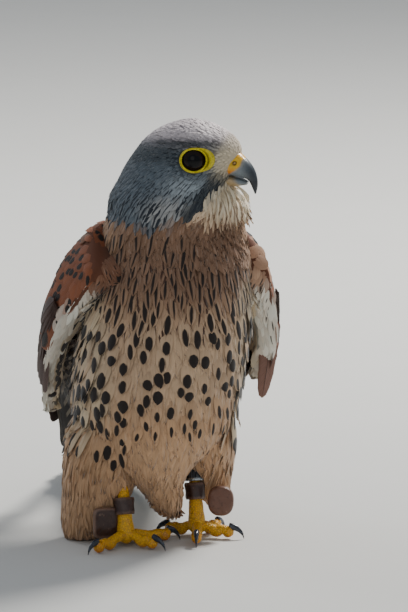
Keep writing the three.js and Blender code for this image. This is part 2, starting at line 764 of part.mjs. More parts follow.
// Wings
const handDepth = () => 1.8;
for (const [name, side] of [["left", 1], ["right", -1]]) {
  const alulaCut = join(alulaVanes(side, GAP));
  const alulaRoot = sheetBlock(side, [0.2, 0.23, 0.06, 0.22], [1, 2], () => 1.2, 1.3);
  const alula = join([...alulaVanes(side), alulaRoot]);
  const arm = armSolid(side).subtract(fleshGrown).subtract(alulaCut);
  addNode(`wing_${name}`, arm, CHESTNUT);
  addNode(`alula_${name}`, alula.subtract(armSolid(side)), DARK_QUILL);
  const armGrown = armSolid(side, GAP);
  const upperBlock = sheetBlock(side, [HAND_START, 0.45, 0.32, 1], [2, 5], handDepth);
  const secondaries = join([...secondaryVanes(side), upperBlock]).subtract(fleshGrown).subtract(armGrown);
  const handBlock = sheetBlock(side, [HAND_START + 0.004, 0.462, 0.05, 0.31], [2, 3], () => 4.9, -3.1);
  const primaries = join([...primaryVanes(side), handBlock]).subtract(fleshGrown).subtract(armGrown);
  addNode(`secondaries_${name}`, secondaries, CHESTNUT);
  addNode(`primaries_${name}`, primaries, DARK_QUILL);
}

// Tail and its coverts
const tail = aboveFloor(join([...tailVanes(), tailRoot()]).subtract(fleshGrown));
addNode("tail_feathers", tail, BLUE_GREY);
addNode("tail_coverts", tailCoverts().subtract(tailSlot()).subtract(fleshGrown), BLUE_GREY);

// Legs
for (const [name, rows] of [["right", THIGH_RIGHT_ROWS], ["left", THIGH_LEFT_ROWS]]) {
  const leg = LEGS[name];
  const mark = name === "right" ? -1 : 1;
  const room = join([fleshGrown, tarsusSolid(leg, GAP), tailCoverts(GAP)]);
  const thigh = stack(rows, 9, 16).subtract(room)
    .subtract(legParts[mark < 0 ? 0 : 1].trimByPlane([0, 0, -1], -34));
  addNode(`thigh_${name}`, aboveFloor(thigh), BUFF);
  addNode(`tarsus_${name}`, aboveFloor(join([tarsusSolid(leg), footBall(leg)])), YELLOW, 0.6);
  leg.toes.forEach((end, i) => {
    const near = i > 0 && i < 3 ? [toeSolid(leg, leg.toes[i - 1], GAP)] : [];
    const toe = toeSolid(leg, end).subtract(join([footBall(leg, GAP), tarsusSolid(leg, GAP), ...near]));
    addNode(`toe_${i + 1}_${name}`, aboveFloor(toe), YELLOW, 0.6);
    addNode(`claw_${i + 1}_${name}`, clawSolid(leg, end), HORN, 0.3);
  });
  const low = name === "right" ? 14 : 17;
  const band = bandSolid(leg, low, low + 7.5, BAND_RADIUS - LEATHER_THICK, BAND_RADIUS);
  addNode(`anklet_${name}`, band, LEATHER, 0.6);
  const bandGrown = bandSolid(leg, low - 0.1, low + 7.6, 0.5, BAND_RADIUS, GAP);
  const tabPlace = mark < 0 ? vec(-28.8, -9.6, 10.2) : vec(25.4, -1.5, 17.2);
  const tab = mark < 0
    ? tabSolid(tabPlace, 9.6, 12.4, 2.6, 1.4, 0.12)
    : tabSolid(tabPlace, 11.6, 13.4, 4.6, 4.6, -0.25);
  addNode(`anklet_tab_${name}`, tab.subtract(bandGrown), LEATHER, 0.6);
}
addNode("leg_ring_left", bandSolid(LEGS.left, 25.2, 30.6, 3.1, RING_RADIUS), METAL, 0.35, 0.8);

// The origin lies on the floor at the middle of the whole bird's extent
const extent = new THREE.Box3().setFromObject(object);
const middle = extent.getCenter(vec(0, 0, 0));
object.position.set(-middle.x, -middle.y, 0);

export default object;
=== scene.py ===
"""Builds a standing kestrel over its solid parts: skin, feathers, eyes, bill, feet and bands."""

import math

import bpy
import numpy as np
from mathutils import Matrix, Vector
from mathutils.bvhtree import BVHTree
from mathutils.kdtree import KDTree


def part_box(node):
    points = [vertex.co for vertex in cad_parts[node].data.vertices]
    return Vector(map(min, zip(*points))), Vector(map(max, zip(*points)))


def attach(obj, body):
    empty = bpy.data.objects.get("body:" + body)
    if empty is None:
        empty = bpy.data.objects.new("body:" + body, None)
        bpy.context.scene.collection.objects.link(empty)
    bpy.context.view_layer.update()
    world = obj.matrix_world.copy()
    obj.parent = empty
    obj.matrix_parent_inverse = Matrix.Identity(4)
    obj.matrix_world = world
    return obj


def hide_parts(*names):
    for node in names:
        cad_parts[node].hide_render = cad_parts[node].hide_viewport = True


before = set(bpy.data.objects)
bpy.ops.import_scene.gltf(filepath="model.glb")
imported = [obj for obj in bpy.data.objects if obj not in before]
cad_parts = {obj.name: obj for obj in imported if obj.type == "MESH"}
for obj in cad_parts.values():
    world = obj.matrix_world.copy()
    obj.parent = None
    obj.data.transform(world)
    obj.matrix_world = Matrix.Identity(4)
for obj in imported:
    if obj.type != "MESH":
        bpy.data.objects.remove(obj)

bl_info = {
    "name": "Kestrel",
    "version": (1, 0, 0),
    "blender": (4, 5, 0),
    "location": "View3D > Sidebar > Kestrel",
    "description": "Builds a standing kestrel over its solid parts",
    "category": "Add Mesh",
}

# Lengths are in millimetres, in the bird's own frame: x to its left, y to its back, z up.
EYE_LEVEL = 173.4
COLOR_LEVEL = 171.0
HEAD_MIDDLE = np.array([16.4, -12.0, EYE_LEVEL])
HEAD_YAW = 60.0
EYE_RADIUS = 6.6
EYE_FORWARD = -1.6
EYE_SIDE = 10.0
EYE_TURN = 20.0
# The bird's sides along x, and how far the forearm's skin runs down each wing
SIDES = ((-1, "right"), (1, "left"))
ARM_END = {-1: 0.48, 1: 0.4}

# Height, middle x and y, half-width, reach to the front and back, facing angle
BODY_ROWS = [
    [13, 3, 0, 2.5, 7, 3, 0],
    [18, 1, 0, 7, 14, 10, 0],
    [27, -3, 0, 13, 21, 24, 0],
    [38, -6, 0, 24, 29, 36, 0],
    [51, -4, 0, 34, 34.5, 46, 0],
    [66, -3.5, 0, 38, 38.5, 50, 0],
    [83, -1, 0, 38.5, 41, 50, 0],
    [100, 2, 0, 38, 40.5, 46, 0],
    [115, 3.5, 0, 37.5, 37.5, 40, 0],
    [128, 4, 0, 36.5, 33.5, 35, 0],
    [138, 4, 0, 34.3, 30.5, 31, 12],
    [146, 4.6, -0.5, 31.8, 29.5, 30, 36],
]
# Height over eye level, reach ahead of and behind the eyes, half-width
HEAD_ROWS = [
    [-19.4, 15.2, 44.5, 25.5],
    [-12.4, 13, 41, 22],
    [-5.4, 15, 37.5, 19.5],
    [0.6, 17.6, 33.5, 18.3],
    [6, 16.8, 29.3, 16.8],
    [10.5, 12.6, 24, 14],
    [14, 5.4, 17, 9.3],
    [16, -3, 9.5, 3.2],
]
THIGH_ROWS = {
    "right": [
        [0.6, -35.5, 9, 5, 5, 7, 0],
        [4, -35, 8, 9, 8, 11, 0],
        [12, -33, 7, 12.5, 12, 15, 0],
        [22, -29.5, 5, 16, 15.5, 20, 0],
        [33, -26.5, 3, 19, 19.5, 24, 0],
        [45, -23.5, 2, 21, 24, 26, 0],
        [60, -20, 3, 19, 24, 24, 0],
    ],
    "left": [
        [13, 27, 13, 2.5, 3, 4, 0],
        [17, 26, 13, 6, 6, 8, 0],
        [25, 23.5, 13, 9.5, 10, 14, 0],
        [34, 20.5, 11, 14, 13, 18, 0],
        [45, 18.5, 8, 16.5, 21, 22, 0],
        [60, 17, 5, 17, 23, 22, 0],
    ],
}
# Wing sheets from wrist to tip: leading edge, widest line, edge along the spine
SPINE_EDGE = [
    [24, 20, 142], [14, 38, 122], [8, 48, 101], [5, 60, 79],
    [4.5, 84, 60], [5, 114, 43], [6.5, 143, 31], [9, 166, 22],
]
WINGS = {
    -1: (
        [[-36, -25, 123], [-45, 0, 100], [-49, 20, 80], [-47, 43, 59],
         [-44, 71, 38], [-39, 104, 22], [-29, 139, 15], [-13, 168, 14.5]],
        [[-34.5, -1, 138.5], [-42, 18, 125], [-43.5, 31, 106], [-41.5, 48, 83],
         [-32, 80, 58], [-24, 111, 40], [-17.5, 143, 29], [-11, 167, 20]],
    ),
    1: (
        [[46, -12, 121], [50, 2, 103], [53, 14, 83], [50, 36, 62],
         [44, 71, 39], [39, 104, 22], [29, 139, 15], [13, 168, 14.5]],
        [[38.5, 4, 137.5], [44.5, 20, 123], [45.5, 33, 104], [42.5, 49, 82],
         [32, 80, 58], [24, 111, 40], [17.5, 143, 29], [11, 167, 20]],
    ),
}
# Bill rows in the head frame: top ahead and up, bottom ahead and up, half-width
UPPER_BILL = [
    [10.5, 4.2, 8.5, -7.0, 7.0], [15.5, 2.8, 11.8, -7.6, 6.1], [18.6, 0.5, 15.3, -8.0, 5.1],
    [21.2, -2.1, 18.2, -8.6, 4.1], [23.2, -5.1, 20.1, -9.2, 3.1],
    [24.3, -8.4, 21.1, -10.3, 2.3], [24.6, -11.7, 22.1, -12.4, 1.5],
    [23.9, -15.4, 23.3, -15.5, 0.35],
]
LOWER_BILL = [
    [8.0, -7.9, 7.0, -12.2, 5.4], [12.5, -8.1, 12.0, -12.6, 4.6],
    [16.5, -8.7, 16.2, -12.2, 3.6], [19.9, -9.9, 19.5, -11.7, 1.9],
]
TAIL_ROOT = np.array([0.0, 44.0, 46.0])
TAIL_TIP = np.array([0.0, 187.0, 3.2])
# The photograph's view: aim across and high from the bird's middle, height of the picture
AIM_ACROSS = 17.8
AIM_HIGH = 104.1
VIEW_HEIGHT = 272.3
VIEW_DISTANCE = 3.0
# Foot, top of the tarsus, and the ends of the hind, inner, middle and outer toe
LEGS = {
    "right": (
        (-19, -12, 4.6), (-20, -5, 38),
        [(-15, 3.5, 4.4), (1.5, -4.5, 5.2), (-8, -23.5, 5), (-35, -27, 4.6)],
    ),
    "left": (
        (15.5, 3, 4.6), (14.5, 9, 40),
        [(27.5, 17, 4.4), (3.5, 11.5, 5), (11.5, -18, 5.4), (30, -3, 5)],
    ),
}

EYE_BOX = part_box("eye_right")
TURN = math.radians(HEAD_YAW)
FACE = np.array([math.sin(TURN), -math.cos(TURN), 0.0])
LEFT = np.array([math.cos(TURN), math.sin(TURN), 0.0])
UP = np.array([0.0, 0.0, 1.0])


def in_head(ahead, left, up):
    """Point of the head frame: ahead, to the bird's left and up from between the eyes."""
    place = np.multiply.outer(np.asarray(ahead, float), FACE)
    place = place + np.multiply.outer(np.asarray(left, float), LEFT)
    return HEAD_MIDDLE + place + np.multiply.outer(np.asarray(up, float), UP)


EYE_RIGHT = in_head(EYE_FORWARD, -EYE_SIDE, 0.0)
SHIFT = np.array((EYE_BOX[0] + EYE_BOX[1]) / 2)[:2] - EYE_RIGHT[:2] * 0.001


def to_row(points):
    """Millimetres of the bird's frame to metres of the row frame."""
    placed = np.asarray(points, float) * 0.001
    placed[..., :2] += SHIFT
    return placed


def lerp(a, b, t):
    return a + (b - a) * t


def step(low, high, value):
    """Smooth rise from 0 at low to 1 at high; low may be the larger one."""
    t = np.clip((value - low) / (high - low), 0.0, 1.0)
    return t * t * (3 - 2 * t)


def bell(value, middle, width):
    """Smooth hump, 1 at its middle."""
    return np.exp(-((value - middle) / width) ** 2)


def unit(v):
    return v / np.maximum(np.linalg.norm(v, axis=-1, keepdims=True), 1e-9)


def rows_at(rows, place):
    """Smooth curve through rows of numbers, at places from 0 to 1."""
    table = np.asarray(rows, float)
    last = len(table) - 1
    at = np.clip(np.asarray(place, float) * last, 0, last)
    i = np.minimum(at.astype(int), last - 1)
    t = (at - i)[..., None]
    p0, p1 = table[np.maximum(i - 1, 0)], table[i]
    p2, p3 = table[i + 1], table[np.minimum(i + 2, last)]
    return 0.5 * (
        2 * p1 + (p2 - p0) * t + (2 * p0 - 5 * p1 + 4 * p2 - p3) * t * t
        + (3 * p1 - p0 - 3 * p2 + p3) * t ** 3
    )


def head_row(up, ahead, behind, half):
    """Body row of the head, its widest place midway between front and back."""
    middle = HEAD_MIDDLE + (ahead - behind) / 2 * FACE
    reach = (ahead + behind) / 2
    return [EYE_LEVEL + up, middle[0], middle[1], half, reach, reach, HEAD_YAW]


ALL_ROWS = BODY_ROWS + [head_row(*row) for row in HEAD_ROWS]


def ring_points(rows, place, angle, grow):
    """Points round a stack of rows; angle 0 is the bird's front, a quarter turn its left."""
    z, cx, cy, half, front, back, yaw = np.moveaxis(rows_at(rows, place), -1, 0)
    turn = np.radians(yaw)
    phi = angle - turn
    ahead = (np.where(np.cos(phi) > 0, front, back) + grow) * np.cos(phi)
    left = (half + grow) * np.sin(phi)
    x = cx + ahead * np.sin(turn) + left * np.cos(turn)
    y = cy - ahead * np.cos(turn) + left * np.sin(turn)
    return np.stack([x, y, z + 0 * phi], -1)


def body_inset(z):
    """How far the skin lies inside the outline, more under the long feathers of the belly."""
    return lerp(-3.2, -1.3, step(132, 156, z)) * step(12, 30, z)


def sheet_point(side, s, t, lift=0.0):
    """Point of a wing sheet: s from wrist to tip, t from the leading to the upper edge."""
    s, t = np.broadcast_arrays(np.asarray(s, float), np.asarray(t, float))
    low, middle = (rows_at(line, s) for line in WINGS[side])
    high = rows_at(SPINE_EDGE, s) * np.array([side, 1, 1])
    t = t[..., None]
    point = low * (1 - t) * (1 - 2 * t) + middle * 4 * t * (1 - t) + high * t * (2 * t - 1)
    if np.any(lift):
        point = point + sheet_frame(side, s, t[..., 0])[2] * np.asarray(lift)[..., None]
    return point


def sheet_frame(side, s, t):
    """Directions down the wing and across it, and the outward normal."""
    reach = 0.01
    down = unit(sheet_point(side, s + reach, t) - sheet_point(side, s - reach, t))
    across = unit(sheet_point(side, s, t + reach) - sheet_point(side, s, t - reach))
    normal = unit(np.cross(down, across))
    normal = normal * np.where(normal[..., :1] * side < 0, -1.0, 1.0)
    return down, across, normal


def random_source(seed):
    return np.random.default_rng(seed)


def speckle(values):
    """Repeatable numbers from 0 to 1 for whole numbers."""
    return np.modf(np.abs(np.sin(np.asarray(values, float) * 12.9898) * 43758.5453))[0]


def srgb(red, green, blue):
    """Linear colour of an 8-bit one."""
    part = np.array([red, green, blue], float) / 255
    return np.where(part <= 0.04045, part / 12.92, ((part + 0.055) / 1.055) ** 2.4)


class Socket:
    """Output socket that grows nodes from Python expressions."""

    def __init__(self, tree, link):
        self.tree = tree
        self.link = link

    def node(self, kind, settings=None, output=0, **values):
        """New node of a type: its settings first, then the values or links of its sockets."""
        made = self.tree.nodes.new(kind)
        for name, value in (settings or {}).items():
            setattr(made, name, value)
        for name, value in values.items():
            counted = name[0] == "i" and name[1:].isdigit()
            connect(self.tree, made.inputs[int(name[1:]) if counted else name.replace("_", " ")], value)
        return Socket(self.tree, made.outputs[output])

    def math(self, operation, a, b=0.5, c=0.5):
        return self.node("ShaderNodeMath", {"operation": operation}, i0=a, i1=b, i2=c)

    def __add__(self, other):
        return self.math("ADD", self, other)

    def __radd__(self, other):
        return self.math("ADD", other, self)

    def __sub__(self, other):
        return self.math("SUBTRACT", self, other)

    def __rsub__(self, other):
        return self.math("SUBTRACT", other, self)

    def __mul__(self, other):
        return self.math("MULTIPLY", self, other)

    def __rmul__(self, other):
        return self.math("MULTIPLY", other, self)

    def __truediv__(self, other):
        return self.math("DIVIDE", self, other)

    def __rtruediv__(self, other):
        return self.math("DIVIDE", other, self)

    def __pow__(self, other):
        return self.math("POWER", self, other)

    def __rpow__(self, other):
        return self.math("POWER", other, self)

    def __neg__(self):
        return self.math("SUBTRACT", 0.0, self)

    def __abs__(self):
        return self.math("ABSOLUTE", self)

    def smooth(self, low, high):
        """Smooth rise from 0 at low to 1 at high."""
        return self.node(
            "ShaderNodeMapRange", {"interpolation_type": "SMOOTHSTEP", "clamp": True},
            Value=self, From_Min=low, From_Max=high, To_Min=0.0, To_Max=1.0,
        )

    def parts(self):
        """The three numbers of a vector socket."""
        made = self.node("ShaderNodeSeparateXYZ", i0=self)
        return [Socket(self.tree, out) for out in made.link.node.outputs]

    def mix(self, other, share):
        """Colour mix of this one and another."""
        return self.node("ShaderNodeMix", {"data_type": "RGBA"}, 2, i0=share, i6=self, i7=other)


def connect(tree, target, value):
    """Link a socket to an input, or set the input's value."""
    if isinstance(value, Socket):
        tree.links.new(value.link, target)
    else:
        target.default_value = value


class Surface:
    """A material's node tree with its one Principled shader."""

    def __init__(self, name, roughness=0.6, **constants):
        self.material = bpy.data.materials.new(name)
        self.material.use_nodes = True
        self.tree = self.material.node_tree
        self.shader = self.tree.nodes["Principled BSDF"]
        self.start = Socket(self.tree, None)
        self.feed("Roughness", roughness)
        for key, value in constants.items():
            self.feed(key.replace("_", " "), value)

    def feed(self, name, value):
        """Link or set a socket of the shader."""
        connect(self.tree, self.shader.inputs[name], value)

    def color(self, value):
        self.feed("Base Color", value if isinstance(value, Socket) else rgba(value))

    def bump(self, height, strength, distance=0.0002):
        self.feed("Normal", self.start.node(
            "ShaderNodeBump", Height=height, Strength=strength, Distance=distance
        ))

    def attribute(self, name, output="Vector"):
        return self.start.node("ShaderNodeAttribute", {"attribute_name": name}, output)

    def tint(self):
        """Colour of the mesh's points."""
        return self.attribute("tint", "Color")

    def place(self):
        """Position on the object, in millimetres."""
        spot = self.start.node("ShaderNodeTexCoord", output="Object")
        return self.start.node("ShaderNodeVectorMath", {"operation": "SCALE"}, i0=spot, Scale=1000.0)

    def vector(self, x, y, z):
        return self.start.node("ShaderNodeCombineXYZ", X=x, Y=y, Z=z)

    def noise(self, vector, scale=1.0, detail=2.0):
        return self.start.node(
            "ShaderNodeTexNoise", Vector=vector, Scale=scale, Detail=detail, Roughness=0.6
        )

    def cells(self, vector, scale=1.0, feature="F1"):
        return self.start.node(
            "ShaderNodeTexVoronoi", {"feature": feature}, Vector=vector, Scale=scale
        )


def rgba(color):
    return (*[float(c) for c in color], 1.0)


def feather_surface(name, mark, barb=0.5, sheen=0.15, roughness=0.62, fibres=False):
    """Feather: tint from the vertices, a dark mark along the shaft, and barbs or loose fibres."""
    look = Surface(name, roughness, Sheen_Weight=sheen, Sheen_Roughness=0.5, Specular_IOR_Level=0.2)
    tint = look.tint()
    across, along, seed = look.attribute("vane").parts()
    wide, first, last = look.attribute("mark").parts()
    side = abs(across)
    run = (along - first) / (last - first)
    swell = run.math("MAXIMUM", run * (1.0 - run) * 4.0, 0.0) ** 0.5
    if fibres:
        grain = look.vector(across * 3.6 + seed * 61.0, along * 2.2, seed * 17.0)
    else:
        grain = look.vector(along * 46.0 - side * 9.0, side * 2.2, seed * 37.0)
    barbs = look.noise(grain, 1.0, 4.0 if fibres else 3.0)
    edge = wide * swell + (barbs - 0.5) * 0.6 * swell
    mask = (edge - side).smooth(-0.04, 0.24)
    base = tint.mix((0.0, 0.0, 0.0, 1.0), barbs.smooth(0.5, 0.78) * barb)
    if fibres:
        base = base.mix((1.0, 0.93, 0.84, 1.0), barbs.smooth(0.46, 0.26) * barb * 0.35)
    look.color(base.mix(rgba(mark), mask))
    look.bump(barbs + (1.0 - side.smooth(0.0, 0.1)) * (0.0 if fibres else 0.7), 0.6, 0.00014)
    return look.material


def add_piece(name, points, faces, material, colors=None, vectors=None, uv=None, smooth=True):
    """Mesh object from points in millimetres and faces of 3 or 4 corners; it rides on the root."""
    mesh = bpy.data.meshes.new(name)
    groups = [np.asarray(group, np.int32) for group in (faces if isinstance(faces, list) else [faces])]
    corners = np.concatenate([group.ravel() for group in groups])
    sizes = np.concatenate([np.full(len(group), group.shape[1]) for group in groups])
    starts = np.concatenate([[0], np.cumsum(sizes)[:-1]]).astype(np.int32)
    mesh.vertices.add(len(points))
    mesh.vertices.foreach_set("co", to_row(points).astype(np.float32).ravel())
    mesh.loops.add(len(corners))
    mesh.loops.foreach_set("vertex_index", corners)
    mesh.polygons.add(len(starts))
    mesh.polygons.foreach_set("loop_start", starts)
    mesh.update(calc_edges=True)
    if smooth:
        mesh.polygons.foreach_set("use_smooth", np.ones(len(starts), bool))
    for key, values in (colors or {}).items():
        layer = mesh.color_attributes.new(name=key, type="FLOAT_COLOR", domain="POINT")
        filled = np.concatenate([values, np.ones((len(values), 1))], 1)
        layer.data.foreach_set("color", filled.astype(np.float32).ravel())
    for key, values in (vectors or {}).items():
        layer = mesh.attributes.new(name=key, type="FLOAT_VECTOR", domain="POINT")
        layer.data.foreach_set("vector", np.asarray(values, np.float32).ravel())
    if uv is not None:
        layer = mesh.uv_layers.new(name="OFBake")
        layer.data.foreach_set("uv", np.asarray(uv, np.float32)[corners].ravel())
    mesh.materials.append(material)
    made = bpy.data.objects.new(name, mesh)
    bpy.context.scene.collection.objects.link(made)
    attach(made, "root")
    return made


def grid_faces(rows, columns, wrap=False):
    """Quads of a grid of points, row after row; wrap closes each row on itself."""
    i = np.arange(rows - 1)[:, None]
    k = np.arange(columns if wrap else columns - 1)[None, :]
    after = (k + 1) % columns
    a, b = i * columns + k, i * columns + after
    return np.stack([a, b, b + columns, a + columns], -1).reshape(-1, 4)


def capped(rings):
    """Points and faces of a closed tube from an array of rings (ring, corner, xyz)."""
    count, sides = rings.shape[:2]
    points = np.concatenate([rings.reshape(-1, 3), [rings[0].mean(0)], [rings[-1].mean(0)]])
    k = np.arange(sides)
    after = (k + 1) % sides
    base = (count - 1) * sides
    low = np.stack([after, k, np.full(sides, count * sides)], -1)
    high = np.stack([base + k, base + after, np.full(sides, count * sides + 1)], -1)
    return points, [grid_faces(count, sides, True), np.concatenate([low, high])]


def tube_rings(centres, wide, high, sides, up=(0, 0, 1)):
    """Rings round a line of centres, wide across and high along the given up."""
    centres = np.asarray(centres, float)
    ahead = unit(np.gradient(centres, axis=0))
    helper = np.broadcast_to(np.asarray(up, float), ahead.shape)
    helper = np.where(np.abs((ahead * helper).sum(-1, keepdims=True)) > 0.92, [0.0, 1.0, 0.0], helper)
    side = unit(np.cross(ahead, helper))
    rise = np.cross(side, ahead)
    angle = 2 * np.pi * np.arange(sides) / sides
    spread = np.asarray(wide, float)[:, None, None] * side[:, None] * np.cos(angle)[None, :, None]
    lifted = np.asarray(high, float)[:, None, None] * rise[:, None] * np.sin(angle)[None, :, None]
    return centres[:, None] + spread + lifted


def joined(parts):
    """One set of points and faces from several; attributes are joined alongside."""
    points, quads, others, offset = [], [], [], 0
    for part_points, part_faces in parts:
        points.append(part_points)
        for group in part_faces if isinstance(part_faces, list) else [part_faces]:
            (quads if group.shape[1] == 4 else others).append(np.asarray(group) + offset)
        offset += len(part_points)
    faces = [np.concatenate(group) for group in (quads, others) if group]
    return np.concatenate(points), faces


# Colours of the plumage
SLATE = srgb(88, 99, 108)
# Crown colour: the head's slate lightened with painted light from above
LIT_CROWN = srgb(190, 181, 184)
DARK_SLATE = srgb(58, 66, 72)
SILVER = srgb(150, 160, 166)
CREAM = srgb(214, 200, 172)
THROAT = srgb(232, 218, 190)
BUFF = srgb(174, 140, 110)
OCHRE = srgb(188, 150, 114)
CHESTNUT = srgb(128, 74, 47)
RUMP = srgb(120, 132, 142)
BLACK = srgb(26, 22, 20)
LINING = srgb(226, 224, 212)
QUILL = srgb(42, 34, 30)
SHADE = srgb(62, 38, 30)
FRINGE = srgb(196, 178, 150)


def head_place(points):
    """Ahead, sideways and up of points in the head frame; sideways counts both ways."""
    offset = points - HEAD_MIDDLE
    return offset @ FACE, np.abs(offset @ LEFT), points[..., 2] - COLOR_LEVEL


def blend(colors, layer, share):
    """Colour array moved toward another colour by a share for each point."""
    return colors + (np.asarray(layer) - colors) * np.asarray(share)[..., None]


def body_tint(points, normals):
    """Colour of the plumage at points of the body, and how dark its markings lie there."""
    z = points[:, 2]
    ahead, side, up = head_place(points)
    back = step(-0.1, 0.55, normals[:, 1] + 0.25 * (z < 100))
    front = np.clip(-normals[:, 1], 0, 1)
    tint = blend(BUFF, OCHRE, step(82, 48, z))
    tint = blend(tint, srgb(198, 172, 142), front * step(56, 80, z) * step(118, 96, z) * 0.6)
    tint = blend(tint, srgb(120, 91, 72), np.clip(front * 1.6, 0, 1) * step(96, 124, z) * 0.9)
    spine = back * step(34, 24, np.abs(points[:, 0])) * step(5, 25, points[:, 1])
    mantle = np.maximum(back * step(96, 110, z), spine * step(62, 74, z))
    tint = blend(tint, CHESTNUT, mantle)
    rump = spine * step(70, 58, z) * step(26, 38, z) * step(24, 16, np.abs(points[:, 0]))
    tint = blend(tint, RUMP, rump)
    flank = step(24, 34, np.abs(points[:, 0])) * step(126, 112, z) * step(52, 66, z)
    tint = blend(tint, srgb(200, 182, 152), flank * (1 - mantle) * 0.7)
    azimuth = np.degrees(np.arctan2(side, ahead + 6))
    front_edge = 11.8 + 0.7 * (np.maximum(up, -23) + 7)
    throat = step(front_edge - 0.6, front_edge + 1.0, ahead) * step(-4.5, -8, up)
    hood_low = 147.5 + 3 * speckle(np.floor(azimuth * 0.7)) - 4.5 * step(60, 120, azimuth)
    hood = step(-1.6, 1.8, z - hood_low) * (1 - throat * step(150, 146, z))
    # Painted light from above: the head pales from slate to the crown, and the crown's front above the
    # eyes gets a near-white painted highlight.
    head = blend(SLATE, LIT_CROWN, step(5, 13, up))
    head = blend(head, srgb(222, 212, 212), step(9, 15, up) * step(-8, 6, ahead))
    head = blend(head, srgb(206, 194, 178), step(9, 14, ahead) * step(1, 5, up))
    # Darker slate behind the eye at eye level and above: partly the head's own colour, partly painted
    # shade.
    head = blend(head, DARK_SLATE * 0.8, step(9.5, 7, up) * step(-1, 2.5, up) * step(-3, -8, ahead) * 0.7)
    # Painted shade: a dark line above each eye, under the raised brow.
    brow = bell(up, 9.6, 1.5) * step(12, 7, ahead) * step(-26, -14, ahead)
    head = blend(head, DARK_SLATE * 0.6, np.clip(brow, 0, 1) * 0.9)
    head = blend(head, DARK_SLATE, step(-22, -32, ahead) * step(-16, 0, up) * 0.4)
    cheek = bell(ahead, -2, 8) * bell(up, -9.5, 4.6)
    head = blend(head, SILVER, np.clip(cheek * 1.3, 0, 0.9))
    patch = bell(ahead, -8, 10) * bell(up, -19.5, 5)
    head = blend(head, srgb(178, 176, 172), np.clip(patch * 1.2, 0, 0.62) * step(-27, -23, up))
    mustache = bell(ahead - front_edge, -2.6, 2.7) * step(-26, -21, up)
    mustache = mustache + bell(ahead, 9.5, 3.2) * bell(up, -5.5, 2.2) * 0.8
    head = blend(head, DARK_SLATE * 0.5, np.clip(mustache * step(-2.2, -5, up) * 1.6, 0, 0.88))
    lores = bell(ahead, 13, 5) * bell(up, 1.5, 6)
    head = blend(head, CREAM, np.clip(lores * 1.5, 0, 0.85))
    under_chin = blend(THROAT, srgb(192, 158, 128), step(-12, -24, up))
    head = blend(head, under_chin, throat)
    return blend(tint, head, hood), hood, mantle, throat


def body_flow(points, normals):
    """Direction in which the feathers lie: back over the head, then down the body."""
    up = head_place(points)[2]
    base = in_head(20.0, 0.0, -3.0)
    away = unit(points - base)
    head = step(143, 160, points[:, 2])[:, None]
    down = np.tile([0.0, 0.0, -1.0], (len(points), 1))
    down[:, 1] += 0.25 * step(90, 50, points[:, 2])
    fall = np.stack([0 * up, 0 * up, -0.5 - 0.4 * step(4, -14, up)], -1)
    flow = down * (1 - head) + unit(away + fall * step(14, -6, up)[:, None]) * head
    flow = flow - (flow * normals).sum(-1, keepdims=True) * normals
    return unit(flow)


class Skin:
    """A surface of triangles with smooth normals that feathers are rooted in."""

    def __init__(self, points, faces):
        groups = faces if isinstance(faces, list) else [faces]
        triangles = []
        for group in groups:
            triangles.append(group[:, :3])
            if group.shape[1] == 4:
                triangles.append(group[:, [0, 2, 3]])
        self.points = np.asarray(points, float)
        self.triangles = np.concatenate(triangles)
        corner = self.points[self.triangles]
        cross = np.cross(corner[:, 1] - corner[:, 0], corner[:, 2] - corner[:, 0])
        self.area = np.linalg.norm(cross, axis=1) / 2
        normals = np.zeros_like(self.points)
        for k in range(3):
            np.add.at(normals, self.triangles[:, k], cross)
        self.normals = unit(normals)
        self.tree = BVHTree.FromPolygons(self.points.tolist(), self.triangles.tolist())

    def sample(self, count, source, extra=None):
        """Random places on the skin: points, normals and any extra numbers of its corners."""
        pick = source.choice(len(self.triangles), count, p=self.area / self.area.sum())
        share = source.random((count, 2))
        share = np.where(share.sum(1, keepdims=True) > 1, 1 - share, share)
        weight = np.stack([1 - share.sum(1), share[:, 0], share[:, 1]], -1)[..., None]
        corner = self.triangles[pick]
        roots = (self.points[corner] * weight).sum(1)
        normals = unit((self.normals[corner] * weight).sum(1))
        if extra is None:
            return roots, normals
        return roots, normals, (extra[corner] * weight).sum(1)

    def nearest(self, points):
        """Nearest places of the skin to points, with its normals there."""
        places, normals = np.array(points), np.zeros_like(points)
        for i, point in enumerate(points):
            hit, _, face, _ = self.tree.find_nearest(point)
            places[i] = hit
            corner = self.triangles[face]
            gap = np.linalg.norm(self.points[corner] - np.array(hit), axis=1) + 1e-4
            normals[i] = (self.normals[corner] / gap[:, None]).sum(0)
        return places, unit(normals)


def oriented(points, faces, outward):
    """Skin whose normals point outward on the whole."""
    skin = Skin(points, faces)
    if (skin.normals * outward).sum(1).mean() < 0:
        skin.normals = -skin.normals
    return skin


def thin_out(points, spacing):
    """Indices of points that keep at least their spacing from one another."""
    tree = KDTree(len(points))
    for i, point in enumerate(points):
        tree.insert(point, i)
    tree.balance()
    free = np.ones(len(points), bool)
    kept = []
    for i in range(len(points)):
        if free[i]:
            kept.append(i)
            for _, j, _ in tree.find_range(points[i], spacing[i]):
                free[j] = False
    return np.array(kept)


# Feather tips stay this far above the floor
OVER_FLOOR = 0.3
# Outlines of half a vane: share of its length and of its width
POINTED = (
    (0.0, 0.4), (0.25, 0.9), (0.5, 1.0), (0.7, 0.86), (0.86, 0.56), (0.96, 0.24), (1.0, 0.05),
)
PROFILE = (
    (0.0, 0.35), (0.25, 0.82), (0.5, 1.0), (0.72, 0.92), (0.88, 0.66), (0.97, 0.3), (1.0, 0.04),
)


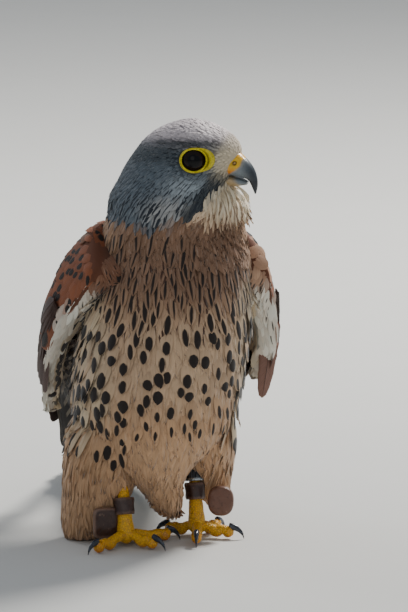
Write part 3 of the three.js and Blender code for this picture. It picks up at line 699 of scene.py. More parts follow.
def plume(
    skin, roots, normals, flow, length, width, source, lift,
    profile=PROFILE, sink=0.4, sway=0.12, columns=3, fray=0.0,
):
    """Vanes that follow the skin: points, faces, and across, along and seed of each point.

    Profile is the outline of half a vane; sink is the root's depth, sway the random turn and
    fray the share of the length by which the barbs' ends differ.
    """
    count = len(roots)
    side = unit(np.cross(normals, flow))
    turn = (source.random(count) - 0.5)[:, None] * 2 * sway
    flow = unit(flow + side * turn)
    side = unit(np.cross(normals, flow))
    reach = np.broadcast_to(length, count)[:, None]
    middle, middle_normal = skin.nearest(roots + flow * reach * 0.5)
    tip, tip_normal = skin.nearest(middle + unit(middle - roots) * reach * 0.5)
    high = (np.asarray(lift) * (0.85 + 0.3 * source.random(count)))[:, None]
    start = roots - normals * sink
    halfway = middle + middle_normal * high * 0.62
    finish = tip + tip_normal * high
    along = np.array([t for t, _ in profile])
    widths = np.array([w for _, w in profile])
    t = along[None, :, None]
    bend = 2 * halfway - (start + finish) / 2
    line = start[:, None] * (1 - t) ** 2 + bend[:, None] * 2 * t * (1 - t) + finish[:, None] * t ** 2
    up = unit(normals[:, None] * (1 - t) + tip_normal[:, None] * t)
    half = np.broadcast_to(width, count)[:, None] / 2 * widths[None, :]
    spots = np.linspace(-1, 1, columns)
    spread = side[:, None, None] * (half[..., None] * spots)[..., None]
    drop = up[:, :, None] * (half[..., None] * 0.22 * np.abs(spots) ** 1.5)[..., None]
    points = line[:, :, None] + spread - drop
    loose = (source.random((count, 1, columns)) - 0.5) * 2 * fray
    loose = loose * step(0.35, 1.0, along)[None, :, None] * reach[:, :, None]
    points = points + flow[:, None, None] * loose[..., None]
    points = points + side[:, None, None] * (loose * 0.25)[..., None]
    points[..., 2] = np.maximum(points[..., 2], OVER_FLOOR)
    rows = len(profile)
    vane = np.zeros((count, rows, columns, 3))
    vane[..., 0] = spots * widths[None, :, None]
    vane[..., 1] = along[None, :, None]
    vane[..., 2] = source.random(count)[:, None, None]
    each = grid_faces(rows, columns)
    faces = (each[None] + (np.arange(count) * rows * columns)[:, None, None]).reshape(-1, 4)
    return points.reshape(-1, 3), faces, vane.reshape(-1, 3)


def rooted(skin, count, source, spacing, keep=None):
    """Roots and normals for feathers: random places that keep allows, at their spacing."""
    roots, normals = skin.sample(count, source)
    if keep:
        allowed = keep(roots, normals)
        roots, normals = roots[allowed], normals[allowed]
    gaps = spacing(roots) if callable(spacing) else np.full(len(roots), spacing)
    picked = thin_out(roots, gaps)
    return roots[picked], normals[picked]


def spread_values(values, count, each):
    """The same three numbers for every point of each vane."""
    return np.repeat(np.broadcast_to(values, (count, 3)).astype(float), each, axis=0)


def marking(wide, first, last):
    """Dark mark of each vane: its width, and its start and end along the vane."""
    return np.stack(np.broadcast_arrays(wide, first, last), -1)


def patch_uv(place, vane):
    """Small patch of the unwrap for each vane, at its root's place."""
    count = len(vane) // len(place)
    root = np.repeat(np.asarray(place, float), count, axis=0)
    spread = np.stack([vane[:, 0] * 0.0015, (vane[:, 1] - 0.5) * 0.003], -1)
    return np.clip(root, 0.003, 0.997) + spread


def wrap_place(points):
    """Unwrap of the body: how far round it and how high up, from 0 to 1."""
    round_about = np.arctan2(points[:, 0] - 4, -(points[:, 1])) / (2 * np.pi) + 0.5
    return np.stack([round_about, np.clip(points[:, 2] / 192, 0, 1)], -1)


def body_skin_parts():
    """Lofts of the body and the thighs, inside the outline by the depth of the coat."""
    angle = np.linspace(0, 2 * np.pi, 96, endpoint=False)
    place = np.repeat(np.linspace(0, 1, 130)[:, None], 96, 1)
    inset = body_inset(rows_at(ALL_ROWS, place[:, 0])[:, 0])[:, None]
    parts = [capped(ring_points(ALL_ROWS, place, angle[None, :], inset))]
    place = np.repeat(np.linspace(0, 1, 40)[:, None], 48, 1)
    inset = np.linspace(-0.6, -2.6, 40)[:, None]
    for rows in THIGH_ROWS.values():
        parts.append(capped(ring_points(rows, place, angle[None, ::2], inset)))
    return parts


def eye_axis(side):
    turn = math.radians(EYE_TURN)
    return math.sin(turn) * FACE + side * math.cos(turn) * LEFT


def eye_centre(side):
    return in_head(EYE_FORWARD, side * EYE_SIDE, 0.0)


def carve_face(points):
    """Head skin drawn in round the eyes and raised at the brow."""
    moved = points.copy()
    for side in (-1, 1):
        axis = eye_axis(side)
        centre = eye_centre(side)
        offset = moved - centre
        depth = offset @ axis
        flat = np.linalg.norm(offset - depth[:, None] * axis, axis=1)
        level = 3.6 + 0.9 * step(4.0, 8.5, flat)
        share = step(9.5, 6.2, flat) * (depth > 0)
        moved += axis * (np.minimum(level - depth, 0) * share)[:, None]
        brow = bell(offset[:, 2], 6.9, 1.8) * step(11, 5, flat) * (depth > 0)
        moved += axis * (brow * 1.3)[:, None]
    return moved


class KestrelSettings(bpy.types.PropertyGroup):
    """Driving values of the plumage, the fittings and the stage."""

    head_spacing: bpy.props.FloatProperty(
        name="Head feather spacing", description="Distance between feather roots on the head",
        default=0.00125, unit="LENGTH",
    )
    body_spacing: bpy.props.FloatProperty(
        name="Body feather spacing", description="Distance between feather roots on the body",
        default=0.0021, unit="LENGTH",
    )
    spot_spacing: bpy.props.FloatProperty(
        name="Spot spacing", description="Distance between the dark marks of the breast",
        default=0.0064, unit="LENGTH",
    )
    primaries: bpy.props.IntProperty(
        name="Primaries", description="Long feathers of each hand", default=10,
    )
    secondaries: bpy.props.IntProperty(
        name="Secondaries", description="Long feathers of each forearm", default=10,
    )
    rectrices: bpy.props.IntProperty(
        name="Tail feathers", description="Feathers of the tail", default=12,
    )
    band_radius: bpy.props.FloatProperty(
        name="Anklet radius", description="Outer radius of the leather anklets",
        default=0.0045, unit="LENGTH",
    )
    key_power: bpy.props.FloatProperty(
        name="Key light", description="Power of the light from above and behind",
        default=50.0, unit="POWER",
    )
    fill_power: bpy.props.FloatProperty(
        name="Fill light", description="Power of the soft light from the front",
        default=4.5, unit="POWER",
    )
    rim_power: bpy.props.FloatProperty(
        name="Rim light", description="Power of the light from behind on the right",
        default=5.0, unit="POWER",
    )
    room_light: bpy.props.FloatProperty(
        name="Room light", description="Strength of the even light all round", default=0.46,
    )
    view_rise: bpy.props.FloatProperty(
        name="View height", description="Camera's angle above the floor",
        default=math.radians(9), subtype="ANGLE",
    )
    view_angle: bpy.props.FloatProperty(
        name="View angle", description="Camera's turn round the bird",
        default=math.radians(-10), subtype="ANGLE",
    )


class KestrelPiece(bpy.types.Operator):
    """Base of the operators; it gives them the settings."""

    bl_options = {"REGISTER", "UNDO"}

    @property
    def settings(self):
        return bpy.context.scene.kestrel


MADE = {}


def body_skin():
    """The body's skin, made once and shared by the operators."""
    if "skin" not in MADE:
        parts = body_skin_parts()
        parts[0] = (carve_face(parts[0][0]), parts[0][1])
        points, MADE["faces"] = joined(parts)
        MADE["skin"] = Skin(points, MADE["faces"])
    return MADE["skin"]


def feathers(
    name, skin, roots, normals, flow, size, tints, marks, surface, slot, place, seed, **shape
):
    """Vanes of one piece, from their roots on the skin; size is length and width.

    Tints and marks are one for all vanes or one for each; the shape is plume's.
    """
    source = random_source(seed)
    points, faces, vane = plume(skin, roots, normals, flow, *size, source, **shape)
    count = len(roots)
    each = len(points) // count
    shade = 0.88 + 0.24 * source.random(count)
    colors = spread_values(tints * shade[:, None], count, each)
    # Painted shade: each vane is darker toward its root, under the feathers that overlap it, and a little
    # lighter at its tip.
    colors *= lerp(0.9, 1.04, vane[:, 1])[:, None]
    return add_piece(
        name, points, faces, surface, {"tint": np.clip(colors, 0, 1)},
        {"vane": vane, "mark": spread_values(marks, count, each)}, patch_uv(place, vane),
    )


def outside_wings(points):
    """True where the wings don't cover the body."""
    x, y, z = points.T
    return ~((y > 8) & (z > 56) & (z < 136) & (np.abs(x) > 12) & (y < 60))


class OBJECT_OT_kestrel_skin(KestrelPiece):
    """Skin of the whole body under the feathers"""

    bl_idname = "object.kestrel_skin"
    bl_label = "Skin"

    def execute(self, context):
        skin = body_skin()
        look = Surface("skin", 0.9, Specular_IOR_Level=0.1)
        grain = look.noise(look.place(), 0.9, 3.0)
        look.color(look.tint().mix((0.02, 0.015, 0.01, 1.0), grain.smooth(0.45, 0.8) * 0.5))
        tint = body_tint(skin.points, skin.normals)[0]
        # Painted shade: the skin is darker than the plumage over it, more so under dark plumage, so the
        # gaps between the feathers look shaded.
        tint = tint * lerp(0.6, 0.85, step(0.25, 0.5, tint.mean(1)))[:, None]
        piece = add_piece(
            "skin", skin.points, MADE["faces"], look.material, {"tint": tint},
            uv=wrap_place(skin.points),
        )
        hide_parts("torso", "neck", "head", "thigh_left", "thigh_right")
        return {"FINISHED"}


class OBJECT_OT_kestrel_head_coat(KestrelPiece):
    """Small feathers of the head and the hood"""

    bl_idname = "object.kestrel_head_coat"
    bl_label = "Head feathers"

    def keep(self, roots, normals):
        """Head and neck, but for the bare skin and the bill."""
        ahead, side, up = head_place(roots)
        bill = (ahead > 13.2) & (side < 6.2) & (up < 3.6) & (up > -11.5)
        return (roots[:, 2] > 136) & ~bill & ~bare_skin_near(roots)

    def spacing(self, roots):
        ahead, _, up = head_place(roots)
        wider = 0.9 * step(-2, -22, up) * step(14, 0, ahead)
        return self.settings.head_spacing * 1000 * (0.85 + wider)

    def execute(self, context):
        skin = body_skin()
        source = random_source(11)
        roots, normals = rooted(skin, 130000, source, self.spacing, self.keep)
        ahead, _, up = head_place(roots)
        size = lerp(4.0, 10.5, step(6, -24, up))
        size = size * lerp(1.0, 0.62, step(4, 14, ahead) * step(-12, -4, up))
        near = np.minimum(*(np.linalg.norm(roots - eye_centre(k), axis=1) for k in (-1, 1)))
        size = size * lerp(0.5, 1.0, step(7, 13, near))
        flow = body_flow(roots, normals)
        seen = roots + flow * (size * 0.6)[:, None]
        tints, hood, _, throat = body_tint(seen, normals)
        size = size * (1 + 0.25 * throat)
        up = seen[:, 2] - COLOR_LEVEL
        pale = step(5, 11, ahead) * step(-6, -1, up)
        wide = (size * 0.36 + 0.35) * lerp(1.0, 0.62, pale)
        streak = lerp(0.14, 0.34, step(-2, -22, up)) * (1 - throat * 0.9)
        streak = streak * (0.4 + 1.2 * source.random(len(roots)))
        streak = streak * lerp(1.0, 0.4, step(0.3, 0.48, tints.mean(1))) * (1 - pale)
        surface = feather_surface("hood_plume", srgb(40, 46, 54), 0.45, 0.12, fibres=True)
        feathers(
            "coat_head", skin, roots, normals, flow, (size, wide), tints,
            marking(streak * hood, 0.05, 1.25), surface, "hood_feathers", wrap_place(roots), 12,
            lift=0.3 + 0.06 * size + 0.6 * throat - 0.2 * pale, sway=0.16, columns=5, fray=0.12,
        )
        return {"FINISHED"}


class OBJECT_OT_kestrel_body_coat(KestrelPiece):
    """Feathers of the breast, belly, back and thighs"""

    bl_idname = "object.kestrel_body_coat"
    bl_label = "Body feathers"

    def keep(self, roots, normals):
        return (roots[:, 2] < 143) & outside_wings(roots) & (roots[:, 2] > 3)

    def spacing(self, roots):
        return self.settings.body_spacing * 1000 * lerp(1.0, 0.86, step(56, 38, roots[:, 2]))

    def execute(self, context):
        skin = body_skin()
        source = random_source(21)
        roots, normals = rooted(skin, 150000, source, self.spacing, self.keep)
        z = roots[:, 2]
        size = lerp(10.5, 15, step(140, 80, z)) * (1 + 0.12 * step(60, 30, z))
        size = size * lerp(0.8, 1.2, source.random(len(z)))
        wide = lerp(2.9, 4.0, step(140, 80, z)) * lerp(1.0, 0.6, step(56, 38, z))
        flow = body_flow(roots, normals)
        tints = body_tint(roots + flow * (size * 0.6)[:, None], normals)[0]
        streaked = source.random(len(z)) > lerp(1.0, 0.5, step(100, 118, z))
        marks = marking(np.where(streaked, 0.42, -1.0), 0.3, 1.02)
        surface = feather_surface("body_plume", srgb(66, 44, 34), 0.26, 0.25, fibres=True)
        groups = {"breast": (104, 143), "belly": (66, 104), "vent": (36, 66), "thighs": (3, 36)}
        for number, (name, (low, high)) in enumerate(groups.items()):
            part = (z >= low) & (z < high)
            feathers(
                f"coat_{name}", skin, roots[part], normals[part], flow[part],
                (size[part], wide[part]), tints[part], marks[part], surface,
                "thigh_feathers" if name == "thighs" else "belly_feathers",
                wrap_place(roots[part]), 22 + number, lift=0.4 + 0.035 * size[part],
                sway=0.3, columns=5, fray=0.14, profile=POINTED,
            )
        return {"FINISHED"}


class OBJECT_OT_kestrel_spots(KestrelPiece):
    """Feathers of the breast and flanks that carry the dark streaks and drops"""

    bl_idname = "object.kestrel_spots"
    bl_label = "Spotted feathers"

    def keep(self, roots, normals):
        """Front of the body, lower down on the right flank than in the middle."""
        x, _, z = roots.T
        low = np.maximum(50, 60 - 12 * step(-8, -30, x))
        return (z > low) & (z < 146) & (normals[:, 1] < 0.25) & outside_wings(roots)

    def flank(self, roots):
        """How far round on the right flank the roots lie, from 0 to 1."""
        x, _, z = roots.T
        return step(-14, -30, x + 0.2 * (z - 80)) * step(128, 108, z)

    def execute(self, context):
        skin = body_skin()
        source = random_source(31)

        def spacing(roots):
            z = roots[:, 2]
            gap = self.settings.spot_spacing * 1000 * lerp(0.62, 1.04, step(130, 92, z))
            gap = gap * (1 - 0.2 * self.flank(roots)) * lerp(1.0, 0.86, step(84, 62, z))
            return gap * lerp(0.85, 1.2, source.random(len(z)))

        roots, normals = rooted(skin, 60000, source, spacing, self.keep)
        z, flank = roots[:, 2], self.flank(roots)
        upper, lower = step(98, 124, z), step(84, 58, z)
        size = lerp(lerp(13.0, 14.0, upper), 17.0, flank) - 2.6 * lower
        wide = lerp(lerp(6.0, 4.0, upper), 8.2, flank) - 2.4 * lower
        chance = source.random(len(roots))
        size = size * lerp(0.85, 1.15, source.random(len(roots)))
        dark = lerp(lerp(0.85, 0.44, upper), 0.95, flank) * (0.7 + 0.45 * chance)
        first = lerp(lerp(0.56, 0.2, upper), 0.6, flank)
        first = first + 0.12 * (source.random(len(roots)) - 0.5)
        flow = body_flow(roots, normals)
        tints = body_tint(roots + flow * (size * 0.6)[:, None], normals)[0]
        surface = feather_surface("spot_plume", srgb(34, 27, 24), 0.3, 0.15, fibres=True)
        feathers(
            "coat_spots", skin, roots, normals, flow, (size, wide), tints,
            marking(dark * lerp(1.0, 0.7, lower), first, 1.0), surface, "belly_feathers",
            wrap_place(roots), 32, lift=lerp(2.5, 1.7, upper), sway=0.22, columns=5, fray=0.03,
        )
        return {"FINISHED"}


class OBJECT_OT_kestrel_tufts(KestrelPiece):
    """Loose feathers: the pale chin, and the blotched flanks that puff over the wings"""

    bl_idname = "object.kestrel_tufts"
    bl_label = "Loose feathers"

    def on_chin(self, roots, normals):
        """Throat and chin, in front of the dark stripe that comes down from the bill."""
        ahead, _, up = head_place(roots)
        edge = 12.4 + 0.7 * (np.maximum(up, -23) + 7)
        return (ahead > np.maximum(5, edge)) & (up < -4) & (up > -21) & (normals @ FACE > -0.1)

    def chin(self, skin, source):
        roots, normals = rooted(skin, 60000, source, 1.25, self.on_chin)
        ahead, _, up = head_place(roots)
        flow = unit(body_flow(roots, normals) + FACE * 0.35)
        flow = unit(flow - normals * (flow * normals).sum(1, keepdims=True) * 0.7)
        size = lerp(7.0, 11.0, source.random(len(up)))
        low = step(-11, -21, up)
        tints = blend(THROAT, srgb(186, 150, 118), low * 0.85)
        streaked = (source.random(len(up)) > 0.85) & (low > 0.3)
        surface = feather_surface("loose_plume", srgb(44, 34, 30), 0.4, 0.25, fibres=True)
        feathers(
            "chin", skin, roots, normals, flow, (size, 1.3), tints,
            marking(np.where(streaked, 0.5, -1.0), 0.3, 1.0), surface, "hood_feathers",
            wrap_place(roots), 36, lift=lerp(2.2, 6.6, step(3, 15, ahead)), sway=0.3,
            columns=3, fray=0.2, profile=POINTED,
        )

    def flank(self, skin, source, mark, label, surface):
        """Blotched feathers of one flank; mark is 1 on the bird's left."""

        def keep(roots, normals):
            x, y, z = roots.T
            beside = (x * mark > 24) & (normals[:, 0] * mark > 0.3)
            return beside & (z > 56) & (z < 112) & (y > -14) & (y < 24)

        def spacing(roots):
            return lerp(2.4, 5.6, source.random(len(roots)) > 0.5)

        roots, normals = rooted(skin, 60000, source, spacing, keep)
        count = len(roots)
        bold = source.random(count) > 0.45
        size = np.where(bold, 16.5, 16.0) * lerp(0.85, 1.1, source.random(count))
        tints = blend(srgb(196, 176, 146), BUFF, source.random(count) * 0.6)
        dark = np.where(bold, 1.0, -1.0) * lerp(0.6, 0.95, source.random(count))
        flow = unit(body_flow(roots, normals) + normals * 0.12)
        feathers(
            f"flank_{label}", skin, roots, normals, flow,
            (size, np.where(bold, 7.4, 4.0)), tints, marking(dark, 0.62, 1.0), surface,
            "belly_feathers", wrap_place(roots), 37, lift=np.where(bold, 3.6, 2.8),
            sway=0.25, columns=5, fray=0.12,
        )

    def execute(self, context):
        skin = body_skin()
        source = random_source(35)
        self.chin(skin, source)
        blotch = feather_surface("flank_plume", BLACK, 0.45, 0.2, fibres=True)
        for mark, label in SIDES:
            self.flank(skin, source, mark, label, blotch)
        return {"FINISHED"}


FINE_PROFILE = (
    (0.0, 0.3), (0.12, 0.62), (0.28, 0.86), (0.45, 0.98), (0.6, 1.0), (0.74, 0.95),
    (0.85, 0.82), (0.93, 0.6), (0.98, 0.33), (1.0, 0.06),
)
# Places across a long vane, from one web's edge over the shaft to the other's
WEB_SPOTS = np.array([-1.0, -0.62, -0.28, -0.06, 0.0, 0.06, 0.28, 0.62, 1.0])
VANE_THICK = 0.45
# Depth of the arm's skin under the coverts, and share and reach of the rings before the wrist
ARM_SINK = 0.8
ARM_NOSE = ((0.42, 6.2), (0.7, 5.2), (0.88, 3.2))
# Larger coverts: place, length, width, count, reach across, colour, mark's width and start, lift
COVERTS = (
    ("median", 0.185, 21.0, 11.5, 11, (0.09, 0.97), CHESTNUT, 0.62, 0.5, 1.5),
    ("greater", 0.262, 30.0, 13.5, 11, (0.22, 0.97), CHESTNUT, 0.6, 0.55, 1.1),
    ("primary", 0.27, 32.0, 9.0, 7, (0.06, 0.22), SHADE, 0.0, 0.5, 1.0),
)
# How far down the wing each primary ends, from the outermost inward
PRIMARY_ENDS = (0.968, 1.0, 0.985, 0.945, 0.895, 0.845, 0.8, 0.755, 0.715, 0.675)
# Middle line of the loose brown feather that hangs under the left wing
HANGING_LINE = ((50.5, 13, 98), (51.1, 16, 90), (50.2, 19, 75), (48.4, 22, 59))
# Places of the shoulder feathers on the wing sheet
SCAPULARS = (
    (0.04, 0.8), (0.04, 0.92), (0.04, 1.0), (0.1, 0.84), (0.1, 0.96),
    (0.16, 0.78), (0.16, 0.9), (0.16, 1.0), (0.23, 0.84), (0.23, 0.96),
)
# Widths of the tail's black band and white tip
TAIL_BAND = 23.0
TAIL_WHITE = 9.0


def arm_skin(side):
    """Skin of a folded arm, with sheet place and face (1 outer, -1 inner) of each point."""
    s, t = np.meshgrid(np.linspace(0.012, ARM_END[side], 30), np.linspace(0, 1, 16), indexing="ij")
    t = t * lerp(1.0, 0.07, step(0.37, 0.42, s))
    deep = lerp(12, 4.5, np.minimum(s / 0.4, 1)) * (1 - t) ** 0.5 + 2.4
    at, normal = sheet_point(side, s, t), sheet_frame(side, s, t)[2]
    inner = at - normal * (deep - ARM_SINK)[..., None]
    rings = np.concatenate([at - normal * ARM_SINK, inner[:, ::-1]], 1)
    face = np.ones_like(s)
    where = np.concatenate([np.stack([s, t, face], -1), np.stack([s, t, -face], -1)[:, ::-1]], 1)
    middle = rings[0].mean(0)
    ahead = unit(np.array([-0.25 * side, -0.8, 0.55]))
    nose = [middle + (rings[0] - middle) * share + ahead * reach for share, reach in ARM_NOSE]
    where = np.concatenate([where[:1]] * len(nose) + [where])
    points, faces = capped(np.concatenate([nose, rings]))
    where = np.concatenate([where.reshape(-1, 3), [where[0].mean(0)], [where[-1].mean(0)]])
    return oriented(points, faces, points - points.mean(0)), faces, where


def sheet_skin(side, lift=0.0):
    """Outer surface of a wing sheet."""
    s, t = np.meshgrid(np.linspace(0, 1, 90), np.linspace(0, 1, 26), indexing="ij")
    points = sheet_point(side, s, t, s * 0 + lift + 1e-6).reshape(-1, 3)
    return oriented(points, grid_faces(90, 26), sheet_frame(side, s, t)[2].reshape(-1, 3))


def sheet_place(side, s, t):
    """Unwrap of a wing: each wing has its own half of the square."""
    start = 0.71 if side > 0 else 0.26
    return np.stack([start + (t - 0.5) * 0.4, 0.03 + 0.94 * s], -1)


def sheet_flow(side, s, t, slant):
    """Direction down the wing, turned across it by the slant, and the normal."""
    down, across, normal = sheet_frame(side, s, t)
    return unit(down + across * np.asarray(slant)[..., None]), normal


class OBJECT_OT_kestrel_arms(KestrelPiece):
    """Skin and small feathers of the folded forearms, white lining under them"""

    bl_idname = "object.kestrel_arms"
    bl_label = "Wing coverts"

    def coverts(self, side, label, skin):
        """Rows of larger coverts on the outer side."""
        for number, row in enumerate(COVERTS):
            name, place, length, width, count, ends, color, dark, first, lift = row
            source = random_source(60 + number * 2 + (side > 0))
            t = np.linspace(*ends, count)
            s = place + 0.012 * (source.random(count) - 0.5) - 0.02 * t
            flow, normals = sheet_flow(side, s, t, 0.02 - 0.16 * (1 - t))
            tints = color * lerp(0.9, 1.05, source.random((count, 1)))
            feathers(
                f"{name}_coverts_{label}", skin, sheet_point(side, s, t), normals, flow,
                (length, width), tints, [dark, first, 0.98], self.marked,
                "flight_feathers" if color is SHADE else "mantle_feathers",
                sheet_place(side, s, t), 70 + number, lift=lift + np.linspace(0, 0.7, count),
                profile=FINE_PROFILE, sway=0.05, columns=7,
            )

    def small_feathers(self, side, label, skin, where):
        """Lesser coverts on the outer side, and the pale lining inside."""
        source = random_source(51 + (side > 0))
        roots, normals, place = skin.sample(30000, source, where)
        outer = (place[:, 2] > 0.2) & (place[:, 1] > 0.03)
        wider = step(0.0, -0.5, place[:, 2]) * (roots[:, 2] < 112)
        spacing = np.where(outer, 2.9, lerp(2.0, 3.6, wider))
        kept = np.flatnonzero((place[:, 0] < 0.3) | ~outer)
        kept = kept[thin_out(roots[kept], spacing[kept])]
        roots, normals, outer = roots[kept], normals[kept], outer[kept]
        s, t, face = place[kept].T
        z = roots[:, 2]
        flow = sheet_flow(side, np.maximum(s, 0.012), t, -0.1 * (1 - t))[0]
        flow = np.where((~outer & (z > 108))[:, None], [0.0, 0.15, -1.0], flow)
        flow = unit(flow - (flow * normals).sum(1, keepdims=True) * normals)
        edge = step(0.14, 0.02, t) * outer * step(116, 108, z)
        deep = step(0.0, -0.5, face) if side < 0 else step(-0.6, -0.95, face)
        high = step(116, 122, z)
        tints = blend(LINING, BUFF, 0.35 * source.random(len(s)))
        tints = blend(tints, srgb(204, 184, 150), deep * 0.8)
        tints = blend(tints, srgb(124, 86, 64), high * ~outer)
        tints = blend(tints, CHESTNUT, outer * (1 - edge * 0.6))
        if side > 0:
            wrist = step(118, 128, z) * step(0.12, 0.04, s) * step(0.5, 0.2, t)
            tints = blend(tints, srgb(206, 170, 140), wrist * 0.6)
        inner_width, inner_dark = (6.0, 0.8) if side < 0 else (4.2, 0.35)
        length = np.where(outer, lerp(9.5, 13, step(0.0, 0.25, s)), lerp(13.0, 16.0, deep))
        width = np.where(outer, 6.6, lerp(3.4, inner_width, deep))
        shorter = lerp(1, 0.8, edge)
        chance = source.random(len(s))
        blotched = chance > lerp(0.9, 0.45, np.maximum(deep, high))
        blot = np.where(blotched, lerp(0.3, inner_dark, deep), -1.0)
        marks = marking(np.where(outer, np.where(chance > 0.55, 0.6, -1.0), blot), 0.5, 0.97)
        for part, name, surface in (
            (outer, "lesser_coverts", self.marked), (~outer, "wing_lining", self.lining),
        ):
            feathers(
                f"{name}_{label}", skin, roots[part], normals[part], flow[part],
                ((length * shorter)[part], (width * shorter)[part]), tints[part], marks[part],
                surface, "mantle_feathers", sheet_place(side, s, t)[part], 55, lift=0.9,
                sway=0.12,
            )

    def execute(self, context):
        self.marked = feather_surface("marked_plume", BLACK, 0.3, 0.04)
        self.lining = feather_surface("lining_plume", srgb(34, 28, 26), 0.3, 0.2, fibres=True)
        bare = Surface("arm_skin", 0.9)
        bare.color(bare.tint())
        for side, label in SIDES:
            skin, faces, where = arm_skin(side)
            # Painted shade: the arm's skin is half as bright as the plumage over it, so the gaps between
            # the coverts look shaded.
            tint = blend(CHESTNUT, LINING, step(0.2, -0.2, where[:, 2])) * 0.5
            shoulder = step(108, 116, skin.points[:, 2]) * (where[:, 2] < 0.9)
            piece = add_piece(
                f"arm_{label}", skin.points, faces, bare.material,
                {"tint": blend(tint, srgb(96, 64, 48), shoulder)},
                uv=sheet_place(side, where[:, 0], where[:, 1]),
            )
            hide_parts(f"wing_{label}")
            self.small_feathers(side, label, skin, where)
            self.coverts(side, label, sheet_skin(side))
        return {"FINISHED"}


def blade(centres, across, normals, webs, source, camber=0.1, tilt=0.0):
    """Closed vane with a raised shaft round a line of centres; webs are its two half-widths."""
    across, normals = (np.broadcast_to(each, centres.shape) for each in (across, normals))
    rows, spots = len(centres), len(WEB_SPOTS)
    run = np.linspace(0, 1, rows)
    ragged = 1 - 0.09 * source.random((rows, 1)) * (run[:, None] > 0.2)
    web = np.where(WEB_SPOTS < 0, webs[0][:, None], webs[1][:, None]) * WEB_SPOTS
    web = web * np.where(np.abs(WEB_SPOTS) > 0.9, ragged, 1.0)
    body = VANE_THICK / 2 * (1 - 0.75 * np.abs(WEB_SPOTS)) * lerp(1.0, 0.5, run)[:, None]
    shaft = np.where(WEB_SPOTS == 0, 1.0, 0.0) * (0.42 * (1 - 0.85 * run))[:, None]
    fall = -camber * np.abs(web) - tilt * web
    middle = centres[:, None] + across[:, None] * web[..., None]
    top = middle + normals[:, None] * (fall + body + shaft)[..., None]
    under = middle + normals[:, None] * (fall - body - shaft * 0.5)[..., None]
    points, faces = capped(np.concatenate([top, under[:, ::-1]], 1))
    vane = np.zeros((rows, 2 * spots, 3))
    vane[..., 0] = np.concatenate([WEB_SPOTS, WEB_SPOTS[::-1]])
    vane[..., 1] = run[:, None]
    vane[:, :spots, 2] = source.random()
    vane[:, spots:, 2] = -source.random()
    vane = np.concatenate([vane.reshape(-1, 3), [[0, 0, 0]], [[0, 1, 0]]])
    return {"points": points, "faces": faces, "vane": vane}


def blade_width(run, blunt):
    """Width of a long vane along its run, full from a third to near its rounded tip."""
    near_tip = np.clip((run - 1 + blunt) / blunt, 0, 1)
    rounded = np.sqrt(np.clip(1 - near_tip ** 2.4, 0.004, 1))
    return lerp(0.35, 1.0, step(0.0, 0.3, run)) * rounded


def many_blades(name, blades, surface, replaced):
    """One piece of several closed vanes with their colours, in place of one solid."""
    points, faces = joined([(entry["points"], entry["faces"]) for entry in blades])
    counts = [len(entry["points"]) for entry in blades]
    vane = np.concatenate([entry["vane"] for entry in blades])
    tint = np.repeat([entry["tint"] for entry in blades], counts, axis=0)
    mark = np.repeat([entry["mark"] for entry in blades], counts, axis=0)
    strip = np.repeat(np.arange(len(blades)) + 0.5, counts)
    across = (strip + 0.44 * vane[:, 0]) / len(blades)
    piece = add_piece(
        name, points, faces, surface, {"tint": tint}, {"vane": vane, "mark": mark},
        0.03 + 0.94 * np.stack([across, vane[:, 1]], -1),
    )
    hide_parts(replaced)


def quill_surface(name, band=False):
    """Long feather: barbs, dark shaft, and bars, fringe or a band and tip by its mark."""
    look = Surface(name, 0.55, Sheen_Weight=0.03, Specular_IOR_Level=0.25)
    across, along, seed = look.attribute("vane").parts()
    first, last, strength = look.attribute("mark").parts()
    side = abs(across)
    barbs = look.noise(look.vector(along * 150.0 - side * 14.0, side * 1.2, seed * 41.0))
    base = look.tint().mix((0.0, 0.0, 0.0, 1.0), barbs.smooth(0.35, 0.75) * 0.3)
    if band:
        ragged = along + (barbs - 0.5) * 0.006
        base = base.mix(rgba(BLACK), (ragged - first).smooth(-0.006, 0.006))
        white = (ragged + side * side * 0.006 - last).smooth(-0.004, 0.004)
        base = base.mix(rgba(srgb(226, 222, 212)), white)
    else:
        bars = (look.start.math("SINE", along * 74.0 + seed * 6.0) - 0.15).smooth(0.0, 0.4)
        inner = (-across - 0.3).smooth(0.0, 0.15) * (-seed).smooth(0.0, 0.02)
        base = base.mix(rgba(srgb(172, 160, 142)), bars * inner * strength)
        fringe = (side + (barbs - 0.5) * 0.12).smooth(0.9, 1.0)
        fringe = fringe + (along + side * 0.01).smooth(0.965, 0.995)
        base = base.mix(rgba(FRINGE), fringe.math("MINIMUM", fringe, 1.0) * last * 0.8)
        drop = (first - abs(along - 0.8) * 5.0 - side).smooth(0.0, 0.2)
        base = base.mix(rgba(BLACK), drop)
    look.color(base.mix(rgba(srgb(34, 28, 24)), (1.0 - side.smooth(0.02, 0.06)) * 0.75))
    look.bump(barbs, 0.4, 0.0001)
    return look.material


